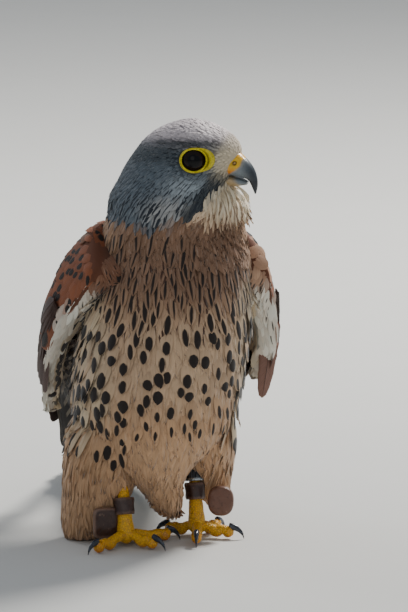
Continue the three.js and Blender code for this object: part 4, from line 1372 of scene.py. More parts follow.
class OBJECT_OT_kestrel_flight(KestrelPiece):
    """Primaries, secondaries and bastard wing of both folded wings"""

    bl_idname = "object.kestrel_flight"
    bl_label = "Flight feathers"

    def vane(
        self, side, start, end, width, lift, tint, mark, source,
        tilt=0.1, narrow=0.7, climb=0.0, bow=0.0,
    ):
        """Long feather between two places of the wing sheet; climb lifts it near the tip."""
        run = np.linspace(0, 1, 26)
        s = lerp(start[0], end[0], run)
        t = lerp(start[1], end[1], run) + bow * np.sin(np.pi * run)
        raised = lift + climb * np.clip((s - 0.6) / 0.3, 0, 1) + 1e-6
        centres = sheet_point(side, s, t, raised)
        _, toward, normals = sheet_frame(side, s, t)
        across = unit(np.cross(normals, unit(np.gradient(centres, axis=0))))
        across = across * np.where((across * toward).sum(-1, keepdims=True) > 0, -1.0, 1.0)
        half = width / 2 * blade_width(run, 0.22)
        webs = (half * (2 - narrow), half * narrow)
        made = blade(centres, across, normals, webs, source, tilt=-tilt)
        return {**made, "tint": tint, "mark": mark}

    def primaries(self, side, source):
        """The longest feathers, from the hand to the wing's tip."""
        count = self.settings.primaries
        made = []
        for i in range(count):
            inner = i / (count - 1)
            end = (PRIMARY_ENDS[min(i, len(PRIMARY_ENDS) - 1)], lerp(0.28, 0.5, inner ** 0.7))
            tint = QUILL * lerp(0.9, 1.25, source.random())
            made.append(self.vane(
                side, (0.40, lerp(0.045, 0.27, inner)), end, lerp(11.5, 16, inner),
                -4.3 - 0.42 * (count - 1 - i), tint, [-1.0, 0.3, 0.85], source,
                tilt=0.22, narrow=0.5, climb=3.5, bow=0.02,
            ))
        return made

    def secondaries(self, side, source):
        """Feathers of the forearm, browner toward the body."""
        count = self.settings.secondaries
        made = []
        for i in range(count):
            inner = i / (count - 1)
            tint = lerp(QUILL * 1.3, CHESTNUT, 0.15 + 0.85 * step(0.35, 0.8, inner))
            dark = 0.55 * step(0.4, 0.7, inner) - 1 * (inner < 0.4)
            end = (lerp(0.665, 0.575, inner), lerp(0.31, 0.86, inner))
            made.append(self.vane(
                side, (0.37, lerp(0.33, 0.92, inner)), end, 15.0, -1.6 + 0.16 * i,
                tint, [dark, 0.9, 0.7], source, tilt=0.16, narrow=0.8,
            ))
        return made

    def thumb(self, side, source):
        """Bastard wing; on the left wing one brown feather hangs under it."""
        made = [
            self.vane(
                side, (0.15, 0.09 + 0.012 * i), (0.44 - 0.055 * i, 0.1 + 0.035 * i), 8.0,
                0.5 + 0.3 * i, SHADE, [-1.0, 0.1, 0.0], source,
            )
            for i in range(4)
        ]
        if side > 0:
            run = np.linspace(0, 1, 26)
            half = 5.0 * blade_width(run, 0.75)
            hanging = blade(
                rows_at(HANGING_LINE, run), [0.97, 0.17, 0.0], [0.17, -0.97, 0.0],
                (half, half), source,
            )
            made.append({**hanging, "tint": srgb(132, 98, 86), "mark": [-1.0, 0.4, 0.0]})
        return made

    def execute(self, context):
        surface = quill_surface("flight_quill")
        groups = {
            "primaries": self.primaries, "secondaries": self.secondaries, "alula": self.thumb,
        }
        for side, label in SIDES:
            source = random_source(80 + (side > 0))
            for name, group in groups.items():
                many_blades(
                    f"{name}_{label}_vanes", group(side, source), surface,
                    f"{name}_{label}",
                )
        return {"FINISHED"}


class OBJECT_OT_kestrel_tail(KestrelPiece):
    """Tail feathers with their dark band and white tips, and the coverts over them"""

    bl_idname = "object.kestrel_tail"
    bl_label = "Tail"

    def fan(self, ahead, normal, length, source):
        """The tail feathers, the middle pair on top."""
        run = np.linspace(0, 1, 34)
        half = 8.2 * blade_width(run, 0.09)
        made = []
        for i in range(self.settings.rectrices):
            side = 1.0 if i % 2 == 0 else -1.0
            rank = i // 2
            reach = (1 - 0.0066 * rank * rank) * length
            layer = 2.6 - 0.62 * (i if rank == 0 else rank + 1)
            centres = TAIL_ROOT + ahead * (run * reach)[:, None] + normal * layer
            centres[:, 0] += side * (rank + 0.35) * lerp(0.7, 3.1, run)
            low = half if rank == 0 else np.minimum(half * 1.1, np.abs(centres[:, 0]) + 2)
            vane = blade(
                centres, [side, 0.0, 0.0], normal, (low, half * 0.8), source, camber=0.03
            )
            tip = 1 - TAIL_WHITE / reach
            made.append({
                **vane, "tint": RUMP * lerp(0.92, 1.08, source.random()),
                "mark": [tip - TAIL_BAND / reach, tip, 0.0],
            })
        return made

    def execute(self, context):
        source = random_source(91)
        ahead = unit(TAIL_TIP - TAIL_ROOT)
        normal = unit(np.cross([1.0, 0, 0], ahead))
        length = np.linalg.norm(TAIL_TIP - TAIL_ROOT)
        many_blades(
            "tail_vanes", self.fan(ahead, normal, length, source),
            quill_surface("tail_quill", band=True), "tail_feathers",
        )
        skin, faces = self.root_skin(ahead, normal)
        plain = feather_surface("rump_plume", srgb(70, 78, 86), 0.35, 0.15)
        bare = Surface("tail_skin", 0.9)
        # Painted shade: the skin under the coverts is half as bright as the rump, so the gaps between
        # them look shaded.
        bare.color(RUMP * 0.5)
        piece = add_piece(
            "tail_root", skin.points, faces, bare.material,
            uv=wrap_place(skin.points),
        )
        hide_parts("tail_coverts")
        roots, normals = rooted(skin, 9000, source, 3.6)
        flow = unit(ahead - normals * (normals @ ahead)[:, None])
        along = ((roots - TAIL_ROOT) @ ahead) / length
        below = normals @ normal < -0.3
        size = lerp(14, 24, step(-0.05, 0.25, along))
        place = np.stack([0.5 + roots[:, 0] / 60, 0.1 + 0.8 * np.clip(along + 0.2, 0, 1)], -1)
        feathers(
            "tail_root_coverts", skin, roots, normals, flow, (size, size * 0.42),
            np.where(below[:, None], CREAM * 0.9, RUMP), [0.08, 0.1, 1.2], plain,
            "tail_feathers", place, 92, lift=1.1, sway=0.08,
        )
        return {"FINISHED"}

    def root_skin(self, ahead, normal):
        """Closed form over the roots of the tail feathers."""
        rows = [[-6, 13, 9], [10, 13.5, 8], [26, 12.5, 6], [42, 11.5, 4.4], [54, 9, 3]]
        place = rows_at(rows, np.linspace(0, 1, 24))
        angle = 2 * np.pi * np.arange(32) / 32
        rings = (TAIL_ROOT + ahead * place[:, :1])[:, None]
        rings = rings + (place[:, 1, None] * np.cos(angle))[..., None] * np.array([1.0, 0, 0])
        rings = rings + (place[:, 2, None] * np.sin(angle))[..., None] * normal
        points, faces = capped(rings)
        return oriented(points, faces, points - points.mean(0)), faces


class OBJECT_OT_kestrel_mantle(KestrelPiece):
    """Marked feathers of the back and shoulders, over the plain ones"""

    bl_idname = "object.kestrel_mantle"
    bl_label = "Mantle"

    def keep(self, roots, normals):
        """The back, narrower toward the rump."""
        x, y, z = roots.T
        near = np.abs(x) < lerp(20, 40, step(90, 110, z))
        return (normals[:, 1] > 0.3) & (z > 60) & (z < 139) & (y > 5) & near

    def execute(self, context):
        skin = body_skin()
        surface = feather_surface("mantle_plume", BLACK, 0.3, 0.15)
        source = random_source(41)
        roots, normals = rooted(skin, 60000, source, 6.6, self.keep)
        z = roots[:, 2]
        size = lerp(13, 19, step(136, 90, z))
        dark = np.where((source.random(len(z)) > 0.35) & (z > 78), 0.62, -1.0)
        feathers(
            "mantle", skin, roots, normals, body_flow(roots, normals), (size, size * 0.66),
            blend(CHESTNUT, RUMP, step(80, 66, z)), marking(dark, 0.5, 0.96), surface,
            "mantle_feathers", wrap_place(roots), 42, lift=1.8, sway=0.1,
            profile=FINE_PROFILE, columns=5,
        )
        s, t = np.array(SCAPULARS).T
        for side, label in SIDES:
            flow, normals = sheet_flow(side, s, t, 0.12 * (1 - t))
            feathers(
                f"scapulars_{label}", sheet_skin(side, 0.6), sheet_point(side, s, t), normals,
                flow, (27.0, 14.0), CHESTNUT * 1.04, [0.62, 0.5, 0.93], surface,
                "mantle_feathers", sheet_place(side, s, t), 44 + side, lift=2.6,
                profile=FINE_PROFILE, sway=0.06, columns=7,
            )
        return {"FINISHED"}


YELLOW = srgb(232, 176, 12)
ORANGE = srgb(214, 124, 30)
HORN_PALE = srgb(138, 148, 154)
HORN_DARK = srgb(24, 30, 40)
LEATHER = srgb(58, 36, 30)
LEATHER_PALE = srgb(146, 116, 98)
# Front edge of the yellow cere: height and how far ahead
CERE_EDGE = np.array([
    (-8.5, 10.5), (-7.4, 11.6), (-6.5, 13.1), (-4.7, 16.1), (-3.0, 17.9), (-0.2, 18.4),
    (1.4, 20.2), (3.0, 21.5),
])
NOSTRIL = (15.5, 5.0, -1.7)
BILL_PARTS = (
    ("bill_upper", UPPER_BILL, -1, ("upper_bill", "cere")),
    ("bill_lower", LOWER_BILL, 1, ("lower_bill",)),
)
# Corners round the lid's section and across the bare skin before it
LID_CORNERS = 12
# Lowest heights of the toes' skin and of the middle line of the toes
ON_FLOOR = 0.05
TOE_HEIGHT = 2.4
# Height of each anklet; and its tab's centre, width, height, depth, corner and turn
ANKLETS = {"right": 14.0, "left": 17.0}
TABS = {
    "right": ((-27.9, -9.9, 10.6), 11.4, 13.6, 2.8, 1.4, 0.12),
    "left": ((25.4, -1.5, 17.2), 11.6, 13.4, 4.4, 4.8, -0.25),
}
# Rings of a tab from face to face: depth and share of the outline
TAB_RINGS = np.array([
    (-0.5, 0.0), (-0.5, 0.45), (-0.5, 0.8), (-0.42, 0.95), (-0.2, 1.0), (0.0, 0.97),
    (0.2, 1.0), (0.42, 0.95), (0.5, 0.8), (0.5, 0.45), (0.5, 0.0),
])


def eye_frame(side):
    """Centre of an eye, its axis, and the forward direction across it."""
    axis = eye_axis(side)
    return eye_centre(side), axis, unit(FACE - axis * (FACE @ axis))


def bare_reach(turn):
    """Reach of the yellow skin round the eye; turn 0 is forward, a quarter turn up."""
    ring = 1 / np.hypot(np.cos(turn) / 6.2, np.sin(turn) / 5.5)
    return ring + 0.2 + 3.0 * np.clip(np.cos(turn - 0.12), 0, 1) ** 3.0


def bare_skin_near(points):
    """True for points that lie on the bare skin round an eye."""
    inside = np.zeros(len(points), bool)
    for side in (-1, 1):
        centre, axis, front = eye_frame(side)
        offset = points - centre
        ahead, rise = offset @ front, offset @ UP
        near = np.hypot(ahead, rise) < bare_reach(np.arctan2(rise, ahead)) - 0.35
        inside |= near & (offset @ axis > 0)
    return inside


class OBJECT_OT_kestrel_eyes(KestrelPiece):
    """Dark eyes with their yellow lids and the bare skin before them"""

    bl_idname = "object.kestrel_eyes"
    bl_label = "Eyes"

    def execute(self, context):
        ball = Surface("eye", 0.1, Coat_Weight=0.3, Coat_Roughness=0.01, Specular_IOR_Level=0.03)
        slope, turn, _ = ball.attribute("vane").parts()
        streak = ball.noise(ball.vector(turn * 30.0, slope * 3.0, 0.0), 1.0, 2.0)
        iris = ball.vector(streak * 0.016 + 0.002, streak * 0.007 + 0.001, streak * 0.003 + 0.0005)
        dark = slope.smooth(0.30, 0.27) + slope.smooth(0.44, 0.52)
        ball.color(iris.mix((0.002, 0.002, 0.003, 1.0), dark.math("MINIMUM", dark, 1.0)))
        lid = Surface("lid", 0.45, Specular_IOR_Level=0.5)
        grain = lid.noise(lid.place(), 1.6, 3.0)
        # Darker in the crease by the lid and at the feathers' edge: partly the lid's dark margin, partly
        # painted shade.
        crease_shade = lid.attribute("vane").parts()[0]
        shade = lid.tint().mix(rgba(srgb(96, 74, 10)), grain.smooth(0.45, 0.75) * 0.6)
        lid.color(shade.mix(rgba(srgb(40, 32, 10)), crease_shade))
        lid.bump(grain, 0.5, 0.0002)
        slope, turn = np.meshgrid(
            np.linspace(0, np.pi, 48), np.linspace(0, 2 * np.pi, 48, endpoint=False), indexing="ij"
        )
        circle = np.stack([np.cos(turn), np.sin(turn)], -1)
        radius = EYE_RADIUS + 0.35 * bell(slope, 0, 0.5) - 0.12
        vane = np.stack([slope / np.pi * 2, np.abs(turn - np.pi), 0 * turn], -1).reshape(-1, 3)
        for side, label in SIDES:
            centre, axis, front = eye_frame(side)
            rings = centre + (radius * np.cos(slope))[..., None] * axis
            across = (radius * np.sin(slope))[..., None]
            rings = rings + across * (circle[..., :1] * front + circle[..., 1:] * UP)
            piece = add_piece(
                f"eyeball_{label}", rings.reshape(-1, 3), grid_faces(48, 48, True), ball.material,
                vectors={"vane": vane},
                uv=0.5 + 0.24 * vane[:, :1] * circle.reshape(-1, 2),
            )
            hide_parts(f"eye_{label}")
            self.lids(side, label, lid.material)
        return {"FINISHED"}

    def lids(self, side, label, material):
        """Rolled lid edge and the bare skin outside it, laid on the head's skin."""
        centre, axis, front = eye_frame(side)
        turn = np.linspace(0, 2 * np.pi, 96, endpoint=False)
        ring = 1 / np.hypot(np.cos(turn) / 5.72, np.sin(turn) / 5.12)
        radial = np.cos(turn)[:, None] * front + np.sin(turn)[:, None] * UP
        depth = np.sqrt(EYE_RADIUS ** 2 - ring ** 2) + 0.35
        line = centre + radial * ring[:, None] + axis * depth[:, None]
        section = np.linspace(0, 2 * np.pi, LID_CORNERS, endpoint=False)
        wide = 0.42 + 0.1 * np.abs(np.cos(turn))
        roll = line[:, None] + radial[:, None] * (wide[:, None] * np.cos(section))[..., None]
        roll = roll + axis * (0.52 * np.sin(section))[None, :, None]
        share = np.linspace(0, 1, LID_CORNERS)
        reach = lerp(ring[:, None] + 0.2, bare_reach(turn)[:, None], share[None, :])
        skin = body_skin()
        spots = centre + radial[:, None] * reach[..., None]
        for spot in spots.reshape(-1, 3):
            hit = skin.tree.ray_cast(Vector(spot + axis * 12), Vector(-axis))[0]
            level = (np.array(hit) - centre) @ axis if hit is not None else 3.0
            spot += axis * (min(level, 5.5) + 0.55)
        swell = np.sin(np.pi * share) * np.clip(reach[:, -1:] - ring[:, None] - 1.0, 0, 3) * 0.3
        spots = spots + axis * swell[..., None]
        count = len(turn) * LID_CORNERS
        points, faces = joined([
            (roll.reshape(-1, 3), grid_faces(len(turn) + 1, LID_CORNERS, True) % count),
            (spots.reshape(-1, 3), grid_faces(len(turn) + 1, LID_CORNERS) % count),
        ])
        tint = np.tile(srgb(226, 208, 22), (len(points), 1))
        tint[count:] *= 0.85
        fold = np.zeros((len(points), 3))
        # Painted shade: the crease beside the rolled lid, partly the lid's dark margin, and the edge
        # under the feathers are darker.
        crease_shade = bell(share, 0.16, 0.09) * 0.85 + step(0.8, 1.0, share) * 0.35
        fold[count:, 0] = np.tile(crease_shade, len(turn))
        place = np.stack([(points - centre) @ front, (points - centre) @ UP], -1)
        piece = add_piece(
            f"lids_{label}", points, faces, material, {"tint": tint},
            {"vane": fold}, 0.5 + place / 24,
        )
        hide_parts(f"eyelid_{label}")


class OBJECT_OT_kestrel_bill(KestrelPiece):
    """Bill with its cere and nostrils"""

    bl_idname = "object.kestrel_bill"
    bl_label = "Bill"

    def execute(self, context):
        look = Surface("bill", 0.28, Specular_IOR_Level=0.5)
        grain = look.noise(look.place(), 1.1, 4.0)
        look.color(look.tint().mix((0.01, 0.01, 0.01, 1.0), grain.smooth(0.45, 0.8) * 0.35))
        look.bump(grain, 0.25, 0.0002)
        phi = 2 * np.pi * np.arange(88) / 88
        rise = np.cos(phi)
        for name, rows, mouth, nodes in BILL_PARTS:
            place = rows_at(rows, np.linspace(0, 1, 96) ** 0.9)
            level = 0 * place[:, 0]
            top = np.stack([place[:, 0], level, place[:, 1]], -1)
            low = np.stack([place[:, 2], level, place[:, 3]], -1)
            middle, reach = (top + low) / 2, (top - low) / 2
            swing = np.sign(rise) * np.abs(rise) ** np.where(rise * mouth > 0, 0.45, 1.0)
            local = middle[:, None] + reach[:, None] * swing[None, :, None]
            local[..., 1] += place[:, 4, None] * np.sin(phi) * (1 - 0.08 * np.abs(np.sin(2 * phi)))
            tint = self.tint(local, mouth)
            if mouth < 0:
                self.nostrils(local, tint)
            points, faces = capped(in_head(local[..., 0], local[..., 1], local[..., 2]))
            tint = np.concatenate([tint.reshape(-1, 3), [tint[0, 0]], [tint[-1, 0]]])
            aside = 0.012 * np.sign(local[..., 1])
            uv = np.stack([local[..., 0] / 32, 0.5 + local[..., 2] / 40 + aside], -1).reshape(-1, 2)
            piece = add_piece(
                name, points, faces, look.material, {"tint": tint},
                uv=np.concatenate([uv, uv[:1], uv[-1:]]),
            )
            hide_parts(*nodes)
        return {"FINISHED"}

    def tint(self, local, mouth):
        """Colours along the bill: yellow cere, grey base, dark hook."""
        ahead, up = local[..., 0], local[..., 2]
        dark = step(17.0, 23.4, ahead + 0.25 * np.maximum(-7 - up, 0))
        if mouth > 0:
            horn = blend(HORN_PALE * 0.72, HORN_DARK, dark * 0.5)
            base = step(17.0, 14.0, ahead + 0.7 * (up + 10))
            return blend(horn, lerp(YELLOW, HORN_PALE, 0.5), base * 0.8)
        dark = np.clip(dark * 0.85 + step(-8.5, -13, up) * 0.6, 0, 0.97)
        horn = blend(HORN_PALE * 0.72, HORN_DARK, dark)
        edge = np.interp(up, *CERE_EDGE.T)
        cere = step(0.5, -0.5, ahead - edge)
        orange = np.clip(step(-3, -6.5, up) + step(0.5, 3, up) * 0.6, 0, 0.9)
        pale = step(2.2, 0.0, ahead - edge) * (1 - cere) * 0.5
        horn = blend(horn, srgb(170, 164, 150), pale)
        return blend(horn, blend(YELLOW, ORANGE, orange), cere)

    def nostrils(self, local, tint):
        """Round nostrils with a raised rim and a small knob inside, cut into both arrays."""
        for side in (-1, 1):
            away = local - np.array([NOSTRIL[0], side * NOSTRIL[1], NOSTRIL[2]])
            away[..., 1] *= 0.4
            gap = np.linalg.norm(away, axis=-1)
            near = np.sign(local[..., 1]) == side
            push = 0.3 * bell(gap, 1.5, 0.45) - 1.1 * np.exp(-(gap / 0.85) ** 4)
            local[..., 1] += side * (push + 0.85 * bell(gap, 0, 0.36)) * near
            # The dark ring in each opening is painted shade in the hollow. The knob and the yellow rim
            # keep their own colours.
            for color, share in (
                (srgb(50, 18, 8), np.clip(bell(gap, 0.72, 0.34) * 1.1, 0, 0.95)),
                (srgb(214, 190, 140), np.clip(bell(gap, 0, 0.3), 0, 0.9)),
                (srgb(232, 190, 16), bell(gap, 1.5, 0.5) * 0.7),
            ):
                tint[:] = blend(tint, color, share * near)


def scaled_tube(centres, wide, high, sides, scutes, depth=0.14):
    """Leg or toe with raised scutes across its upper side."""
    rings = tube_rings(centres, wide, high, sides)
    run = np.concatenate([[0], np.cumsum(np.linalg.norm(np.diff(centres, axis=0), axis=1))])
    angle = 2 * np.pi * np.arange(sides) / sides
    ridge = np.abs(np.sin(np.pi * run / scutes))[:, None] ** 0.5
    top = step(-0.2, 0.5, np.sin(angle))[None, :]
    push = depth * (ridge - 0.6) * top
    pad = np.abs(np.sin(np.pi * run / (scutes * 2.2)))[:, None] - 0.5
    pads = depth * 1.4 * pad * (1 - top)
    away = unit(rings - np.asarray(centres)[:, None])
    return rings + away * (push + pads)[..., None]


class OBJECT_OT_kestrel_feet(KestrelPiece):
    """Yellow scaled legs and toes, and dark claws"""

    bl_idname = "object.kestrel_feet"
    bl_label = "Feet"

    def execute(self, context):
        bare = Surface(
            "scaled_skin", 0.42, Specular_IOR_Level=0.5, Subsurface_Weight=0.08,
            Subsurface_Scale=0.0015,
        )
        cells = bare.cells(bare.place(), 1.15)
        ridge = bare.cells(bare.place(), 0.95, "DISTANCE_TO_EDGE")
        wear = bare.noise(bare.place(), 0.35, 4.0)
        tint = bare.tint().mix(rgba(srgb(196, 138, 92)), wear.smooth(0.52, 0.72) * 0.55)
        bare.color(tint.mix(rgba(srgb(112, 70, 14)), (1.0 - ridge.smooth(0.0, 0.16)) * 0.55))
        bare.bump(ridge.smooth(0.0, 0.3) + cells * 0.1, 0.6, 0.0003)
        claw = Surface("claw", 0.22, Specular_IOR_Level=0.6)
        grain = claw.noise(claw.place(), 0.9, 3.0)
        claw.color(claw.tint().mix((0.004, 0.005, 0.008, 1.0), grain.smooth(0.3, 0.7)))
        shank = np.linspace(0, 1, 60)
        swell = np.interp(shank * 5, range(6), [1.7, 1.0, 0.35, 0.0, 0.1, 0.5])
        rounded = np.sin(np.linspace(0.25, np.pi - 0.25, 14))
        for label, leg in LEGS.items():
            foot, top, *toes = (np.array(place, float) for place in (*leg[:2], *leg[2]))
            line = foot + (top - foot) * shank[:, None]
            rings = scaled_tube(line, 2.4 + swell, 2.4 + swell * 0.9, 28, 3.1)
            line = foot + np.linspace([-3.9, 0, 0.4], [3.9, 0, 0.4], 14)
            ball = tube_rings(line, 4.2 * rounded, 3.7 * rounded, 20)
            piece = self.leg_piece(f"shank_{label}", [rings, ball], bare.material, foot)
            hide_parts(f"tarsus_{label}")
            parts = [self.toe(foot, end) for end in toes]
            piece = self.leg_piece(f"toes_{label}", parts, bare.material, foot)
            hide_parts(*[f"toe_{i + 1}_{label}" for i in range(4)])
            points, faces = joined([capped(self.nail(foot, end)) for end in toes])
            piece = add_piece(
                f"claws_{label}", points, faces, claw.material,
                {"tint": np.tile(srgb(44, 54, 68), (len(points), 1))}, uv=self.unwrap(points, foot),
            )
            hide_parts(*[f"claw_{i + 1}_{label}" for i in range(4)])
        return {"FINISHED"}

    def unwrap(self, points, foot):
        """Unwrap of a leg, from above and a little from the side."""
        place = 0.5 + (points - foot)[:, :2] / 100
        place[:, 1] += points[:, 2] / 400
        return np.clip(place, 0, 1)

    def leg_piece(self, name, tubes, material, foot):
        """Yellow skin of closed tubes, more orange under the foot and at the toes' ends."""
        points, faces = joined([capped(rings) for rings in tubes])
        under = step(3.2, 0.6, points[:, 2])
        ends = step(9, 22, np.linalg.norm((points - foot)[:, :2], axis=1)) * 0.4
        tint = blend(YELLOW, ORANGE, np.clip(under * 0.6 + ends, 0, 0.85))
        return add_piece(
            name, points, faces, material, {"tint": tint},
            uv=self.unwrap(points, foot),
        )

    def toe(self, foot, end):
        """Toe with swollen joints, flat on the floor under its pads."""
        stations = np.array([0, 0.18, 0.38, 0.56, 0.74, 0.9, 1.0])
        rise = np.array([0, 0.6, 0, -1.5, -0.5, -1.6, 0])
        swell = np.array([1.15, 0.98, 0.84, 0.95, 0.8, 0.92, 0.62])
        deep = np.array([1, 1, 1, 1.2, 1, 1.2, 1])
        run = np.linspace(0, 1, 54)
        table = np.stack([stations, rise, swell, deep], -1)
        at = rows_at(table, np.interp(run, stations, np.linspace(0, 1, 7)))
        line = foot + (end - foot) * run[:, None] + np.outer(at[:, 1], UP)
        line[:, 2] = np.maximum(line[:, 2], TOE_HEIGHT)
        rings = scaled_tube(line, 2.4 * at[:, 2], 2.4 * at[:, 2] * at[:, 3], 22, 2.1, 0.2)
        rings[..., 2] = np.maximum(rings[..., 2], ON_FLOOR)
        return rings

    def nail(self, foot, end):
        """Curved claw that comes down to the floor."""
        ahead = unit((end - foot) * [1, 1, 0])
        bend = 1.45
        turn = bend * np.linspace(0, 1, 26)
        line = end + ahead * (9.5 / bend * np.sin(turn) - 0.9)[:, None]
        rise = end[2] + 0.6
        line[:, 2] = rise - (1 - np.cos(turn)) / (1 - math.cos(bend)) * (rise - 0.4)
        thick = lerp(1.75, 0.16, np.linspace(0, 1, 26) ** 1.1)
        rings = tube_rings(line, thick * 0.78, thick, 16)
        rings[..., 2] = np.maximum(rings[..., 2], ON_FLOOR)
        return rings


class OBJECT_OT_kestrel_bands(KestrelPiece):
    """Leather anklets with their tabs, and the metal leg ring"""

    bl_idname = "object.kestrel_bands"
    bl_label = "Anklets and ring"

    def execute(self, context):
        hide = Surface("leather", 0.42, Specular_IOR_Level=0.45, Coat_Weight=0.15)
        folds = hide.noise(hide.place(), 0.5, 5.0)
        pores = hide.cells(hide.place(), 3.0)
        tint = hide.tint().mix(rgba(LEATHER * 0.35), folds.smooth(0.5, 0.75) * 0.7)
        hide.color(tint.mix(rgba(LEATHER_PALE), folds.smooth(0.38, 0.28) * 0.4))
        hide.bump(folds + pores * 0.15, 0.7, 0.0004)
        metal = Surface("ring_metal", 0.38, Metallic=0.85)
        worn = metal.noise(metal.place(), 1.2, 3.0)
        metal.color(metal.tint().mix(rgba(srgb(24, 24, 26)), worn.smooth(0.45, 0.7) * 0.6))
        radius = self.settings.band_radius * 1000
        profile = [
            (-0.5, 2.9), (-0.5, radius - 0.3), (-0.42, radius - 0.05), (-0.3, radius + 0.06),
            (-0.1, radius - 0.12), (0.12, radius - 0.1), (0.3, radius + 0.05), (0.42, radius),
            (0.5, radius - 0.3), (0.5, 2.9),
        ]
        for label, low in ANKLETS.items():
            rings, share = self.band(label, low, low + 7.5, profile, 0.22)
            points, faces = capped(rings)
            edge = np.append(step(0.36, 0.48, np.abs(share)).ravel(), [0.5, 0.5])
            piece = add_piece(
                f"leather_band_{label}", points, faces, hide.material,
                {"tint": blend(LEATHER, LEATHER_PALE, edge * 0.6)}, uv=self.unwrap(points),
            )
            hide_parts(f"anklet_{label}")
            self.tab(label, *TABS[label], hide.material)
        profile = [(-0.5, 3.1), (-0.5, 4.3), (-0.4, 4.5), (-0.3, 4.42), (-0.24, 4.2)]
        profile += [(k, 4.22) for k in np.linspace(-0.2, 0.42, 6)] + [(0.5, 4.0), (0.5, 3.1)]
        rings, share = self.band("left", 25.2, 30.6, profile, 0.0, 144)
        turn = np.arange(144)
        flute = np.where((turn // 3) % 2 == 0, 0.16, -0.1)[None, :] * ((share > -0.22) & (share < 0.45))
        middle = rings.mean(1, keepdims=True)
        rings = rings + unit(rings - middle) * flute[..., None]
        points, faces = capped(rings)
        outside = step(3.0, 4.0, np.linalg.norm(rings - middle, axis=-1))
        pale = np.append((step(-0.22, -0.3, share) * outside).ravel(), [0, 0])
        piece = add_piece(
            "metal_ring_left", points, faces, metal.material,
            {"tint": blend(srgb(66, 68, 72), srgb(176, 186, 192), pale)},
            uv=self.unwrap(points), smooth=False,
        )
        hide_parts("leg_ring_left")
        return {"FINISHED"}

    def unwrap(self, points):
        """Unwrap of a band, once round."""
        middle = points.mean(0)
        turn = np.arctan2(points[:, 1] - middle[1], points[:, 0] - middle[0])
        return np.stack([0.5 + turn / 7, 0.5 + (points[:, 2] - middle[2]) / 20], -1)

    def band(self, label, low, high, profile, crumple, count=72):
        """Turned band round a leg; the profile is share of the height and radius."""
        foot, top = (np.array(p, float) for p in LEGS[label][:2])
        ahead = unit(top - foot)
        centre = foot + (top - foot) * (((low + high) / 2 - foot[2]) / (top[2] - foot[2]))
        side = unit(np.cross(ahead, [0.0, 1.0, 0.0]))
        back = np.cross(ahead, side)
        turn = 2 * np.pi * np.arange(count) / count
        share = np.array([s for s, _ in profile])[:, None] + 0 * turn
        radius = np.array([r for _, r in profile])[:, None]
        radius = radius + crumple * np.sin(3 * turn + 4 * share) * np.cos(5 * turn)
        spread = radius[..., None] * (np.cos(turn)[:, None] * side + np.sin(turn)[:, None] * back)
        return centre + ahead * (share * (high - low))[..., None] + spread, share

    def tab(self, label, centre, wide, high, thick, corner, turn, material):
        """Folded leather tab with rounded corners and soft faces."""
        angle = 2 * np.pi * np.arange(72) / 72
        power = 2 / lerp(2.2, 7.0, 1 - corner / 5)
        x = np.sign(np.cos(angle)) * np.abs(np.cos(angle)) ** power * wide / 2
        z = np.sign(np.sin(angle)) * np.abs(np.sin(angle)) ** power * high / 2
        depth, share = TAB_RINGS[:, :1] * thick, TAB_RINGS[:, 1:]
        px, pz = x * np.maximum(share, 0.02), z * np.maximum(share, 0.02)
        dent = 0.3 * np.sin(0.9 * pz + 0.5 * px) * np.cos(0.5 * px) * np.sign(depth)
        dent = dent * (share < 0.96)
        line = 0.22 * bell(np.abs(px), wide * 0.36, 0.35) * np.sign(depth)
        py = depth - dent - line * (corner < 3)
        out_x = centre[0] + px * math.cos(turn) - py * math.sin(turn)
        out_y = centre[1] + px * math.sin(turn) + py * math.cos(turn)
        points, faces = capped(np.stack([out_x, out_y, centre[2] + pz], -1))
        edge = np.append((step(0.84, 0.98, share) + 0 * px).ravel(), [0, 0])
        base = LEATHER if corner < 3 else srgb(104, 68, 52)
        tint = blend(base, LEATHER_PALE, edge * (0.75 if corner < 3 else 0.2))
        piece = add_piece(
            f"leather_tab_{label}", points, faces, material, {"tint": tint},
            uv=self.unwrap(points),
        )
        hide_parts(f"anklet_tab_{label}")


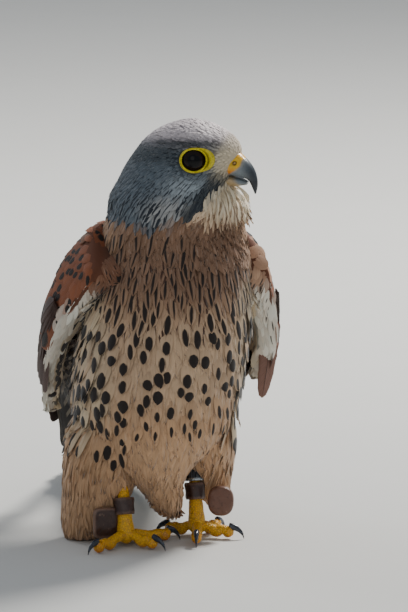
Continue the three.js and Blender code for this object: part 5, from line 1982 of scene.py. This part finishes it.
class OBJECT_OT_kestrel_stage(KestrelPiece):
    """Pale floor, soft lights and the camera"""

    bl_idname = "object.kestrel_stage"
    bl_label = "Stage"

    def lamp(self, name, place, size, power, color):
        """Area light at a place, aimed at the bird's breast."""
        data = bpy.data.lights.new(name, "AREA")
        data.shape = "DISK"
        data.size = size
        data.energy = power
        data.color = color
        lamp = bpy.data.objects.new(name, data)
        bpy.context.scene.collection.objects.link(lamp)
        lamp.location = place
        aim = Vector((0.0, 0.0, 0.11)) - lamp.location
        lamp.rotation_euler = aim.to_track_quat("-Z", "Y").to_euler()

    def execute(self, context):
        scene = bpy.context.scene
        settings = self.settings
        look = Surface("floor", 0.85, Specular_IOR_Level=0.2)
        grain = look.noise(look.place(), 0.02, 4.0)
        pale = grain * 0.02 + 0.58
        look.color(look.vector(pale, pale, pale - 0.02))
        mesh = bpy.data.meshes.new("floor")
        edge = 8.0
        corners = [(-edge, -edge, 0), (edge, -edge, 0), (edge, edge, 0), (-edge, edge, 0)]
        mesh.from_pydata(corners, [], [(0, 1, 2, 3)])
        mesh.materials.append(look.material)
        floor = bpy.data.objects.new("floor", mesh)
        scene.collection.objects.link(floor)
        world = bpy.data.worlds.new("studio")
        world.use_nodes = True
        world.node_tree.nodes["Background"].inputs["Color"].default_value = (0.86, 0.92, 1.0, 1.0)
        world.node_tree.nodes["Background"].inputs["Strength"].default_value = settings.room_light
        scene.world = world
        self.lamp("key", (0.9, 0.75, 1.3), 0.5, settings.key_power, (1.0, 0.97, 0.92))
        self.lamp("fill", (-0.9, -2.2, 1.0), 1.6, settings.fill_power, (1.0, 0.95, 0.88))
        self.lamp("rim", (-1.0, 1.2, 1.0), 0.7, settings.rim_power, (0.95, 0.97, 1.0))
        turn, rise = settings.view_angle, settings.view_rise
        back = Vector((math.sin(turn) * math.cos(rise), -math.cos(turn) * math.cos(rise), math.sin(rise)))
        aside = Vector((math.cos(turn), math.sin(turn), 0.0))
        above = back.cross(aside)
        aim = aside * AIM_ACROSS * 0.001 + above * AIM_HIGH * 0.001
        aim += Vector((SHIFT[0], SHIFT[1], 0.0))
        data = bpy.data.cameras.new("camera")
        data.sensor_width = 36.0
        data.lens = data.sensor_width * VIEW_DISTANCE / (VIEW_HEIGHT * 0.001)
        camera = bpy.data.objects.new("camera", data)
        scene.collection.objects.link(camera)
        camera.location = aim + back * VIEW_DISTANCE
        camera.rotation_euler = back.to_track_quat("Z", "Y").to_euler()
        data.clip_start = 0.1
        data.clip_end = 60.0
        scene.camera = camera
        return {"FINISHED"}


STEPS = (
    OBJECT_OT_kestrel_stage,
    OBJECT_OT_kestrel_skin,
    OBJECT_OT_kestrel_head_coat,
    OBJECT_OT_kestrel_body_coat,
    OBJECT_OT_kestrel_spots,
    OBJECT_OT_kestrel_tufts,
    OBJECT_OT_kestrel_mantle,
    OBJECT_OT_kestrel_arms,
    OBJECT_OT_kestrel_flight,
    OBJECT_OT_kestrel_tail,
    OBJECT_OT_kestrel_eyes,
    OBJECT_OT_kestrel_bill,
    OBJECT_OT_kestrel_feet,
    OBJECT_OT_kestrel_bands,
)


class VIEW3D_PT_kestrel(bpy.types.Panel):
    """Sidebar panel that lists the pieces"""

    bl_idname = "VIEW3D_PT_kestrel"
    bl_label = "Kestrel"
    bl_space_type = "VIEW_3D"
    bl_region_type = "UI"
    bl_category = "Kestrel"

    def draw(self, context):
        layout = self.layout
        for name in KestrelSettings.__annotations__:
            layout.prop(context.scene.kestrel, name)
        for made in STEPS:
            layout.operator(made.bl_idname)


CLASSES = (KestrelSettings, *STEPS, VIEW3D_PT_kestrel)


def register():
    for made in CLASSES:
        bpy.utils.register_class(made)
    bpy.types.Scene.kestrel = bpy.props.PointerProperty(type=KestrelSettings)


def unregister():
    del bpy.types.Scene.kestrel
    for made in reversed(CLASSES):
        bpy.utils.unregister_class(made)


def main():
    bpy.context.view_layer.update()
    register()
    for made in STEPS:
        group, name = made.bl_idname.split(".")
        getattr(getattr(bpy.ops, group), name)()
    bpy.context.view_layer.update()


if __name__ == "__main__":
    main()
